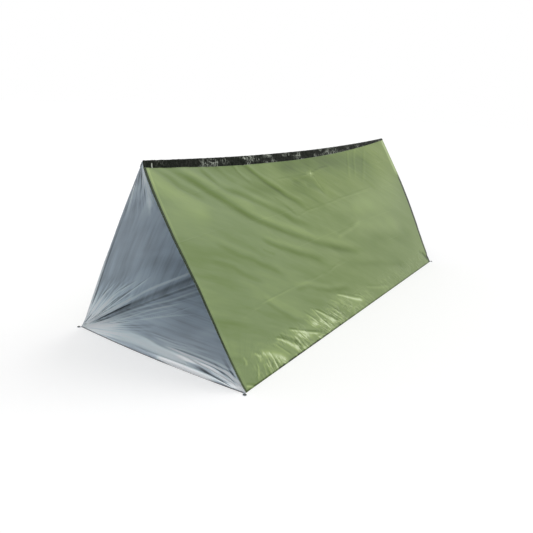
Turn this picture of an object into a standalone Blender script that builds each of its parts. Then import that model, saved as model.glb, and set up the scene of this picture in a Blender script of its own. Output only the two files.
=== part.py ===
"""Emergency tube tent of thin plastic film: a ridge tent open at both ends, with a film floor.

Metres, +Z up. X runs across the tent, Y along its ridge with the front mouth at -Y, and the origin is on
the ground under the middle. The film is one tube on the real tent. It is parted here at the lines where it
folds: along the floor's two sides, along a knee a quarter of the way up each wall, and along the ridge.
"""
import math
from collections import namedtuple

import bmesh
import bpy

# Driving sizes
LENGTH = 2.400             # the tube along the ridge, hem to hem
FLOOR_WIDTH = 1.000        # between the two base creases
WALL_SLOPE = 1.000         # up a wall, from its base crease to the ridge crease
RIDGE_SAG = 0.029          # how far the ridge hangs at mid length, under its two ends
MOUTH_LEAN = 0.030         # the ridge reaches this far beyond the gathered base, at each mouth
BAND_FRONT = 0.030         # depth of the black ridge band down each wall, at the front
BAND_MIDDLE = 0.047        # the same at mid length
BAND_REAR = 0.012          # the same at the rear

# Film, hems and band
FILM = 0.0010              # the solids' thickness, which stands in for film of 0.05 mm
BAND_THICKNESS = 0.0008
HEM_WIDTH = 0.0075         # folded edge of the film at each mouth
FLOOR_HEM_HEIGHT = 0.0025  # the floor's hem is rolled, so it stands higher
FLOOR_HEM_CHAMFER = 0.0006
GAP = 0.0003               # between pieces that touch

# Corner ears, each with a two-part eyelet
EAR_RADIUS = 0.0085
EAR_REACH = 0.0085         # from the hem to the eyelet's centre
EAR_THICKNESS = 0.0008
EAR_OUTSET = 0.0055        # the eyelet's centre lies this far outside the base crease
EYELET_BORE_RADIUS = 0.0040
EYELET_WALL = 0.0008
EYELET_FLANGE_RADIUS = 0.0070
EYELET_FLANGE_THICKNESS = 0.0008
WASHER_THICKNESS = 0.0008
ROUND_STEPS = 24

# Worked out from the driving sizes
KNEE = (WALL_SLOPE - FLOOR_WIDTH / 2) / 2       # with the knee here, the tube folds flat
BASE_AXIS_HEIGHT = FILM + GAP / 2               # the base creases bend at the film's silver side
BASE_ANGLE_COS = FLOOR_WIDTH / 2 / WALL_SLOPE
BASE_ANGLE_SIN = math.sqrt(1 - BASE_ANGLE_COS ** 2)
WALL_END = LENGTH / 2 - HEM_WIDTH - GAP         # the walls stop inside the floor's hems
FILM_END = WALL_END - HEM_WIDTH - GAP           # and the walls' film stops inside the walls' hems
SEAT_LENGTH = 0.030                             # the left wall's foot, which lies over the floor when folded
SLIDE_CLEARANCE = 0.0006
SQUARE_FOOT = 0.060                             # the mouths' lean starts here, so the foot fits between the floor's hems

# Cells of the film grids
CELLS_ALONG = 40
CELLS_UPPER = 11
CELLS_BAND = 2
CELLS_LOWER = 4

# The photographed folds: a valley runs from start to end, each (along from the front, up the slope)
Fold = namedtuple("Fold", "start end depth width")
RIGHT_FOLDS = (
    Fold((0.15, 0.87), (1.30, 0.31), 0.0085, 0.060),
    Fold((0.55, 0.94), (0.99, 0.63), 0.0060, 0.050),
    Fold((0.53, 0.53), (0.98, 0.29), 0.0050, 0.050),
    Fold((0.89, 0.62), (1.88, 0.66), 0.0040, 0.045),
    Fold((1.21, 0.86), (1.27, 0.70), 0.0060, 0.050),
    Fold((0.20, 0.15), (0.70, 0.09), 0.0050, 0.040),
    Fold((0.85, 0.15), (1.30, 0.08), 0.0050, 0.040),
)
LEFT_FOLDS = (
    Fold((0.05, 0.05), (0.55, 0.90), 0.0060, 0.060),
    Fold((0.10, 0.02), (1.20, 0.72), 0.0070, 0.065),
    Fold((0.30, 0.80), (1.10, 0.88), 0.0050, 0.050),
    Fold((1.40, 0.80), (2.20, 0.35), 0.0070, 0.065),
)
BILLOW = 0.0050            # the walls' middle stands out this far between the folds
CREASE_REACH = 0.100       # the folds die out over this distance from a crease


def clear_scene():
    """Take away what the file opened with."""
    for item in list(bpy.data.objects):
        bpy.data.objects.remove(item, do_unlink=True)


def material(name, colour, roughness, metallic):
    """A Principled material with the part's own colour."""
    made = bpy.data.materials.new(name)
    made.use_nodes = True
    shader = made.node_tree.nodes["Principled BSDF"]
    shader.inputs["Base Color"].default_value = (*colour, 1.0)
    shader.inputs["Roughness"].default_value = roughness
    shader.inputs["Metallic"].default_value = metallic
    return made


def add_object(name, mesh, finish, pivot=(0.0, 0.0, 0.0)):
    """Link a mesh given in world places, with the object's origin moved to its pivot."""
    for vertex in mesh.vertices:
        vertex.co.x -= pivot[0]
        vertex.co.y -= pivot[1]
        vertex.co.z -= pivot[2]
    made = bpy.data.objects.new(name, mesh)
    made.location = pivot
    made.data.materials.append(finish)
    bpy.context.scene.collection.objects.link(made)
    return made


def smooth(value):
    """Ease from 0 to 1 with level ends."""
    value = min(max(value, 0.0), 1.0)
    return value * value * (3 - 2 * value)


def valley(fold, along, up):
    """Depth of one fold at a point: deepest on its line, with round ends and a bell section."""
    run = (fold.end[0] - fold.start[0], fold.end[1] - fold.start[1])
    reach = (along - fold.start[0], up - fold.start[1])
    share = (run[0] * reach[0] + run[1] * reach[1]) / (run[0] ** 2 + run[1] ** 2)
    share = min(max(share, 0.0), 1.0)
    off = math.hypot(reach[0] - share * run[0], reach[1] - share * run[1])
    return fold.depth * math.exp(-(off / fold.width) ** 2)


def station(y):
    """How far along the film a section is, from 0 at the front to 1 at the rear."""
    return min(max((y + FILM_END) / (2 * FILM_END), 0.0), 1.0)


def sag(y):
    """Drop of the ridge at one section: a shallow parabola between its two ends."""
    return RIDGE_SAG * 4 * station(y) * (1 - station(y))


def band_depth(y):
    """Depth of the ridge band down the wall: one parabola through front, middle and rear."""
    t = station(y)
    ends = BAND_FRONT + (BAND_REAR - BAND_FRONT) * t
    return ends + (BAND_MIDDLE - (BAND_FRONT + BAND_REAR) / 2) * 4 * t * (1 - t)


def top_of_wall(y):
    """Slope distance from the base crease to the wall's top edge."""
    return WALL_SLOPE - GAP - sag(y) * BASE_ANGLE_SIN


def inner_offset(side, y, up):
    """Distance of the film's silver face outside the plane through the creases.

    It is half a gap at the creases. Between them the wall billows out and the folds press it in, and
    towards the ridge the sag draws it in. The lower strips only fold inwards, because their green face
    lies on the ground when the tent is folded flat.
    """
    folds = RIGHT_FOLDS if side > 0 else LEFT_FOLDS
    along = y + LENGTH / 2
    lower = up < KNEE
    to_crease = min(up, KNEE - up) if lower else min(up - KNEE, top_of_wall(y) - up)
    fade = smooth(to_crease / CREASE_REACH)
    offset = GAP / 2 - fade * sum(valley(fold, along, up) for fold in folds)
    if lower:
        return offset
    rise = (up - KNEE) / (top_of_wall(y) - KNEE)
    return offset + BILLOW * math.sin(math.pi * min(max(rise, 0.0), 1.0)) - sag(y) * BASE_ANGLE_COS * rise ** 3


def seat_offset(up):
    """Extra inward set of the left wall's foot, which slides over the floor as the tent folds."""
    ramp = (KNEE - GAP - up) / (KNEE - GAP - SEAT_LENGTH)
    return (FILM + GAP) * min(max(ramp, 0.0), 1.0)


def wall_point(side, y, up, offset):
    """World place of a point on a wall: side +1 right or -1 left, offset outwards from its plane.

    Sections lie further apart towards the ridge, which leans each mouth's edges outwards.
    """
    x = FLOOR_WIDTH / 2 - up * BASE_ANGLE_COS + offset * BASE_ANGLE_SIN
    z = BASE_AXIS_HEIGHT + up * BASE_ANGLE_SIN + offset * BASE_ANGLE_COS
    lean = MOUTH_LEAN * max(up - SQUARE_FOOT, 0.0) / (WALL_SLOPE - SQUARE_FOOT)
    return (side * x, y * (1 + lean / (LENGTH / 2)), z)


def base_axis(side):
    """A point on a base crease's axis."""
    return (side * FLOOR_WIDTH / 2, 0.0, BASE_AXIS_HEIGHT)


def knee_axis(side):
    """A point on a knee crease's axis."""
    return wall_point(side, 0.0, KNEE, 0.0)


def ridge_axis():
    """A point on the ridge crease's axis, level with the ridge's two ends."""
    return wall_point(1, 0.0, WALL_SLOPE, 0.0)


def spread(start, end, cells):
    """Evenly spaced values from start to end."""
    return [start + (end - start) * step / cells for step in range(cells + 1)]


def sheet_mesh(name, silver, green):
    """A closed sheet between two equal grids of points, rows by columns.

    Both faces split each cell along the same diagonal, so the sheet keeps its thickness.
    """
    rows = len(silver)
    columns = len(silver[0])
    points = [point for grid in (silver, green) for row in grid for point in row]

    def corner(layer, row, column):
        return (layer * rows + row) * columns + column

    faces = []
    for row in range(rows - 1):
        for column in range(columns - 1):
            for layer in (0, 1):
                a = corner(layer, row, column)
                b = corner(layer, row, column + 1)
                c = corner(layer, row + 1, column + 1)
                d = corner(layer, row + 1, column)
                pair = [(a, b, c), (a, c, d)]
                faces += [face[::-1] for face in pair] if layer else pair
    border = [(0, column) for column in range(columns - 1)]
    border += [(row, columns - 1) for row in range(rows - 1)]
    border += [(rows - 1, column) for column in range(columns - 1, 0, -1)]
    border += [(row, 0) for row in range(rows - 1, 0, -1)]
    for (row, column), (next_row, next_column) in zip(border, border[1:] + border[:1]):
        faces.append((corner(0, next_row, next_column), corner(0, row, column),
                      corner(1, row, column), corner(1, next_row, next_column)))
    mesh = bpy.data.meshes.new(name)
    mesh.from_pydata(points, [], faces)
    shape = bmesh.new()
    shape.from_mesh(mesh)
    bmesh.ops.recalc_face_normals(shape, faces=shape.faces)
    shape.to_mesh(mesh)
    shape.free()
    mesh.update()
    return mesh


def upper_rows(y):
    """Slope distances of an upper panel's rows at one section, the last ones under the band."""
    top = top_of_wall(y)
    band_edge = top - band_depth(y)
    return spread(KNEE + GAP / 2, band_edge, CELLS_UPPER) + spread(band_edge, top, CELLS_BAND)[1:]


def lower_rows(side):
    """Slope distances of a lower strip's rows. The left foot starts higher, clear of the floor."""
    foot = GAP / 2 if side > 0 else GAP / 2 + SLIDE_CLEARANCE
    seat = [foot, SEAT_LENGTH]
    return seat + spread(SEAT_LENGTH, KNEE - GAP / 2, CELLS_LOWER)[1:]


def wall_sheet(side, stations, rows_at, lift=0.0, thickness=FILM, rows=slice(None)):
    """The two faces of a strip of wall. Its offsets come from the film, raised by lift.

    A station outside the film's ends takes the film's shape at that end, so hems lie straight.
    """
    silver = []
    green = []
    for y in stations:
        film_y = min(max(y, -FILM_END), FILM_END)
        inner_row = []
        outer_row = []
        for up in rows_at(film_y)[rows]:
            offset = inner_offset(side, film_y, up) + lift
            if side < 0 and up < KNEE:
                offset -= seat_offset(up)
            inner_row.append(wall_point(side, y, up, offset))
            outer_row.append(wall_point(side, y, up, offset + thickness))
        silver.append(inner_row)
        green.append(outer_row)
    return silver, green


def film_stations():
    """Sections of the film panels."""
    return spread(-FILM_END, FILM_END, CELLS_ALONG)


def mouth_stations(end):
    """The two sections that bound a hem at the front (-1) or the rear (+1)."""
    return [end * WALL_END, end * (WALL_END - HEM_WIDTH)]


def make_walls(film, hem):
    """Two panels on each wall, with a hem at each mouth."""
    for side, side_name in ((1, "right"), (-1, "left")):
        strips = (("lower", lambda y, s=side: lower_rows(s), base_axis(side)),
                  ("upper", upper_rows, knee_axis(side)))
        for strip_name, rows_at, pivot in strips:
            name = f"{side_name}_wall_{strip_name}"
            mesh = sheet_mesh(name, *wall_sheet(side, film_stations(), rows_at))
            add_object(name, mesh, film, pivot)
            for end, end_name in ((-1, "front"), (1, "rear")):
                name = f"{end_name}_hem_{side_name}_{strip_name}"
                mesh = sheet_mesh(name, *wall_sheet(side, mouth_stations(end), rows_at))
                add_object(name, mesh, hem, pivot)


def make_ridge_band(finish):
    """The black band over the ridge, one leaf on each wall, outside the film and its hems."""
    stations = [-WALL_END] + film_stations() + [WALL_END]
    rows = slice(-CELLS_BAND - 1, None)
    for side, side_name in ((1, "right"), (-1, "left")):
        name = f"ridge_band_{side_name}"
        faces = wall_sheet(side, stations, upper_rows, FILM + GAP, BAND_THICKNESS, rows)
        add_object(name, sheet_mesh(name, *faces), finish, ridge_axis())


def make_floor(film):
    """The floor film, flat on the ground between the base creases."""
    edge = FLOOR_WIDTH / 2 - GAP / 2
    stations = spread(-WALL_END, WALL_END, 12)
    across = spread(-edge, edge, 8)
    grids = [[[(x, y, z) for x in across] for y in stations] for z in (0.0, FILM)]
    add_object("floor_panel", sheet_mesh("floor_panel", *grids), film)


def make_floor_hems(finish):
    """Rolled hem across the floor at each mouth: a long flat roll with chamfered edges."""
    edge = FLOOR_WIDTH / 2 - GAP / 2
    for end, end_name in ((-1, "front"), (1, "rear")):
        name = f"{end_name}_hem_floor"
        shape = bmesh.new()
        bmesh.ops.create_cube(shape, size=1.0)
        size = (2 * edge, HEM_WIDTH, FLOOR_HEM_HEIGHT)
        bmesh.ops.scale(shape, vec=size, verts=shape.verts)
        long_edges = [item for item in shape.edges
                      if abs(item.verts[0].co.x - item.verts[1].co.x) > FLOOR_HEM_HEIGHT]
        bmesh.ops.bevel(shape, geom=long_edges, offset=FLOOR_HEM_CHAMFER, segments=1, affect="EDGES")
        place = (0.0, end * (LENGTH / 2 - HEM_WIDTH / 2), FLOOR_HEM_HEIGHT / 2)
        bmesh.ops.translate(shape, vec=place, verts=shape.verts)
        mesh = bpy.data.meshes.new(name)
        shape.to_mesh(mesh)
        shape.free()
        add_object(name, mesh, finish)


def ring_mesh(name, centre, profile):
    """Turn a closed profile of (radius, height) about a vertical line through the centre.

    A radius may be a function of the angle, so a ring's outer edge needn't be round.
    """
    points = []
    for step in range(ROUND_STEPS):
        angle = 2 * math.pi * step / ROUND_STEPS
        for radius, height in profile:
            reach = radius(angle) if callable(radius) else radius
            points.append((centre[0] + reach * math.cos(angle), centre[1] + reach * math.sin(angle), height))
    count = len(profile)
    faces = []
    for step in range(ROUND_STEPS):
        here = step * count
        there = (step + 1) % ROUND_STEPS * count
        for index in range(count):
            following = (index + 1) % count
            faces.append((here + index, there + index, there + following, here + following))
    mesh = bpy.data.meshes.new(name)
    mesh.from_pydata(points, [], faces)
    shape = bmesh.new()
    shape.from_mesh(mesh)
    bmesh.ops.recalc_face_normals(shape, faces=shape.faces)
    shape.to_mesh(mesh)
    shape.free()
    mesh.shade_smooth()
    mesh.set_sharp_from_angle(angle=math.radians(35))
    return mesh


def ear_edge(end, side):
    """Outline of an ear from its eyelet's centre: a tab out of the floor's corner, round at its far end.

    The tab runs from the corner through the eyelet's centre, and the floor's hem cuts it off.
    """
    run = (side * EAR_OUTSET / math.hypot(EAR_OUTSET, EAR_REACH), end * EAR_REACH / math.hypot(EAR_OUTSET, EAR_REACH))

    def reach(angle):
        ray = (math.cos(angle), math.sin(angle))
        limits = [EAR_RADIUS]
        if ray[0] * run[0] + ray[1] * run[1] < 0:
            limits = [EAR_RADIUS / max(abs(ray[0] * run[1] - ray[1] * run[0]), 1e-6)]
        if -end * ray[1] > 1e-6:
            limits.append((EAR_REACH - GAP) / (-end * ray[1]))
        return min(limits)
    return reach


def make_corners(film, metal):
    """An ear at each corner of the floor, and its eyelet: a flanged barrel with a washer under it."""
    barrel_radius = EYELET_BORE_RADIUS + EYELET_WALL
    hole_radius = barrel_radius + GAP
    ear_bottom = WASHER_THICKNESS + GAP
    ear_top = ear_bottom + EAR_THICKNESS
    flange_bottom = ear_top + GAP
    flange_top = flange_bottom + EYELET_FLANGE_THICKNESS
    ear_centre_x = FLOOR_WIDTH / 2 + EAR_OUTSET
    ear_centre_y = LENGTH / 2 + EAR_REACH
    for end, end_name in ((-1, "front"), (1, "rear")):
        for side, side_name in ((1, "right"), (-1, "left")):
            corner = f"{end_name}_{side_name}"
            centre = (side * ear_centre_x, end * ear_centre_y)
            outline = ear_edge(end, side)
            ear = [(hole_radius, ear_bottom), (outline, ear_bottom), (outline, ear_top), (hole_radius, ear_top)]
            add_object(f"ear_{corner}", ring_mesh(f"ear_{corner}", centre, ear), film)
            eyelet = [(EYELET_BORE_RADIUS, 0.0), (barrel_radius, 0.0), (barrel_radius, flange_bottom),
                      (EYELET_FLANGE_RADIUS, flange_bottom), (EYELET_FLANGE_RADIUS, flange_top),
                      (EYELET_BORE_RADIUS, flange_top)]
            add_object(f"eyelet_{corner}", ring_mesh(f"eyelet_{corner}", centre, eyelet), metal)
            washer = [(hole_radius, 0.0), (EYELET_FLANGE_RADIUS, 0.0), (EYELET_FLANGE_RADIUS, WASHER_THICKNESS),
                      (hole_radius, WASHER_THICKNESS)]
            add_object(f"washer_{corner}", ring_mesh(f"washer_{corner}", centre, washer), metal)


def main():
    clear_scene()
    green_film = material("film_green", (0.235, 0.292, 0.150), 0.38, 0.0)
    silver_film = material("film_silver", (0.420, 0.460, 0.500), 0.30, 0.9)
    dark_hem = material("hem_dark", (0.045, 0.065, 0.030), 0.40, 0.0)
    black_band = material("band_black", (0.012, 0.014, 0.011), 0.28, 0.0)
    black_eyelet = material("eyelet_black", (0.012, 0.012, 0.012), 0.35, 0.0)
    make_floor(silver_film)
    make_floor_hems(dark_hem)
    make_walls(green_film, dark_hem)
    make_ridge_band(black_band)
    make_corners(green_film, black_eyelet)


main()
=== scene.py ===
"""Emergency tube tent of thin film: green outside, silvered inside, with a black band over its ridge.

Metres, +Z up. X runs across the tent, Y along its ridge with the front mouth at -Y. The tent stands on
Z = 0. A place on a wall is given by its distance along from the front and its distance up the slope.
"""
import math
from collections import namedtuple

import bpy
import numpy as np
from mathutils import Matrix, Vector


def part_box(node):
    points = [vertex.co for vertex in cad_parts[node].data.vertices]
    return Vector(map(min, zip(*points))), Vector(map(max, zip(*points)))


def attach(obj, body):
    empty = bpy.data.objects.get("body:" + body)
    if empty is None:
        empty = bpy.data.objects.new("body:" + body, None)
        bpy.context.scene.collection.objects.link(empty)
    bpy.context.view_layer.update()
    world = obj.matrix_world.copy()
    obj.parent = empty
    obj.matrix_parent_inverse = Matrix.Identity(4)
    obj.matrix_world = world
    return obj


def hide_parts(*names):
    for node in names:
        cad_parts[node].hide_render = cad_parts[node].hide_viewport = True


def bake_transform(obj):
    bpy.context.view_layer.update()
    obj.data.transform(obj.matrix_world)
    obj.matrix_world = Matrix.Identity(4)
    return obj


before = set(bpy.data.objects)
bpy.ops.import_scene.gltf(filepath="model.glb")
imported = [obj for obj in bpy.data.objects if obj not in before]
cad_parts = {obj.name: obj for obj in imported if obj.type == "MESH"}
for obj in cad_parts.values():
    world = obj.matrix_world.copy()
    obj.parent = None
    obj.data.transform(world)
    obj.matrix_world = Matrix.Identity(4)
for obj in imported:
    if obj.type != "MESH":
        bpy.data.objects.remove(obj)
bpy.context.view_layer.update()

bl_info = {
    "name": "Tube tent",
    "version": (1, 0, 0),
    "blender": (4, 5, 0),
    "location": "View3D > Sidebar > Tube tent",
    "description": "Builds a film tube tent over its packed frame",
    "category": "Add Mesh",
}

FLOOR_LOW, FLOOR_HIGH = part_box("floor_panel")
HEM_LOW, HEM_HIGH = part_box("front_hem_floor")
REAR_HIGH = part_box("rear_hem_floor")[1]
GAP = 0.0003             # between pieces that touch
REST_HALF_ZONE = 0.007   # half the strip in which the film turns at a knee
UNDER_BAND = 0.003       # the walls' film stops this far below the crest, under the band
SQUARE_FOOT = 0.060      # the mouths' lean starts this far up the walls


# Sizes and colours

def metres(name, description, default):
    """A length that a user would change."""
    return bpy.props.FloatProperty(name=name, description=description, default=default, unit="LENGTH",
                                   precision=4)


def paint(name, description, default):
    """A surface colour, linear."""
    return bpy.props.FloatVectorProperty(name=name, description=description, default=default, size=3,
                                         subtype="COLOR", min=0.0, max=1.0)


class TubeTentSizes(bpy.types.PropertyGroup):
    """The tent's sizes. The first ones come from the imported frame."""

    length: metres("Length", "The tube along its ridge, hem to hem", REAR_HIGH.y - HEM_LOW.y)
    floor_width: metres("Floor width", "Between the two base creases", FLOOR_HIGH.x - FLOOR_LOW.x + GAP)
    film: metres("Film thickness", "Thickness of the film's solids", FLOOR_HIGH.z - FLOOR_LOW.z)
    hem_width: metres("Hem width", "Folded edge of the film at a mouth", HEM_HIGH.y - HEM_LOW.y)
    wall_slope: metres("Wall slope", "Up a wall, from its base crease to the ridge", 1.000)
    ridge_sag: metres("Ridge sag", "How far the ridge hangs at mid length", 0.029)
    band_front: metres("Band depth, front", "Depth of the ridge band at the front mouth", 0.030)
    band_middle: metres("Band depth, middle", "Depth of the ridge band at mid length", 0.047)
    band_rear: metres("Band depth, rear", "Depth of the ridge band at the rear mouth", 0.012)
    front_lean: metres("Front lean", "How far the ridge reaches beyond the base at the front mouth", 0.054)
    rear_lean: metres("Rear lean", "How far the ridge reaches beyond the base at the rear mouth", 0.017)
    floor_bow: metres("Floor bow", "How far the floor's loose front edge bows out at its middle", 0.017)
    drape: bpy.props.FloatProperty(name="Drape", description="Strength of the loose folds", default=1.0,
                                   min=0.0, max=1.5, subtype="FACTOR")


class TubeTentColours(bpy.types.PropertyGroup):
    """The tent's colours."""

    green: paint("Green film", "Outside of the film", (0.182, 0.246, 0.088))
    silver: paint("Silver film", "Inside of the film", (0.72, 0.79, 0.85))
    hem: paint("Hem", "Dark edge of the mouths", (0.021, 0.034, 0.015))
    band: paint("Ridge band", "Black film over the ridge", (0.006, 0.008, 0.005))
    eyelet: paint("Eyelets", "Corner eyelets and washers", (0.012, 0.012, 0.012))
    studio: paint("Studio floor", "Pale floor under the tent", (0.80, 0.80, 0.80))


# The tent's surfaces

# The tables of dents, folds and rolls are in millimetres. A line is a flat list of the places that it
# passes, two numbers each.

# A broad dent in a packed wall, straight from end to end
Dent = namedtuple("Dent", "depth width line")

# A fold of the film. It rises or, below zero, falls in, and above it the film does the opposite by a share
# of that, its edge. Its flare is how much wider it ends than it starts, as a share of its width.
# A fold's rise and edge also set its tone: painted highlight above zero and painted shade below.
Fold = namedtuple("Fold", "rise edge width line flare", defaults=(0.4,))

# A loose roll of film
Roll = namedtuple("Roll", "tall width line")

# The walls' dents, by the distance along and up
DENTS = {
    1: (Dent(8.5, 60, (150, 870, 1300, 310)),
        Dent(6, 50, (550, 940, 990, 630)),
        Dent(5, 50, (530, 530, 980, 290)),
        Dent(4, 45, (890, 620, 1880, 660)),
        Dent(6, 50, (1210, 860, 1270, 700)),
        Dent(5, 40, (200, 150, 700, 90)),
        Dent(5, 40, (850, 150, 1300, 80))),
    -1: (Dent(6, 60, (50, 50, 550, 900)),
         Dent(7, 65, (100, 20, 1200, 720)),
         Dent(5, 50, (300, 800, 1100, 880)),
         Dent(7, 65, (1400, 800, 2200, 350))),
}
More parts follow.
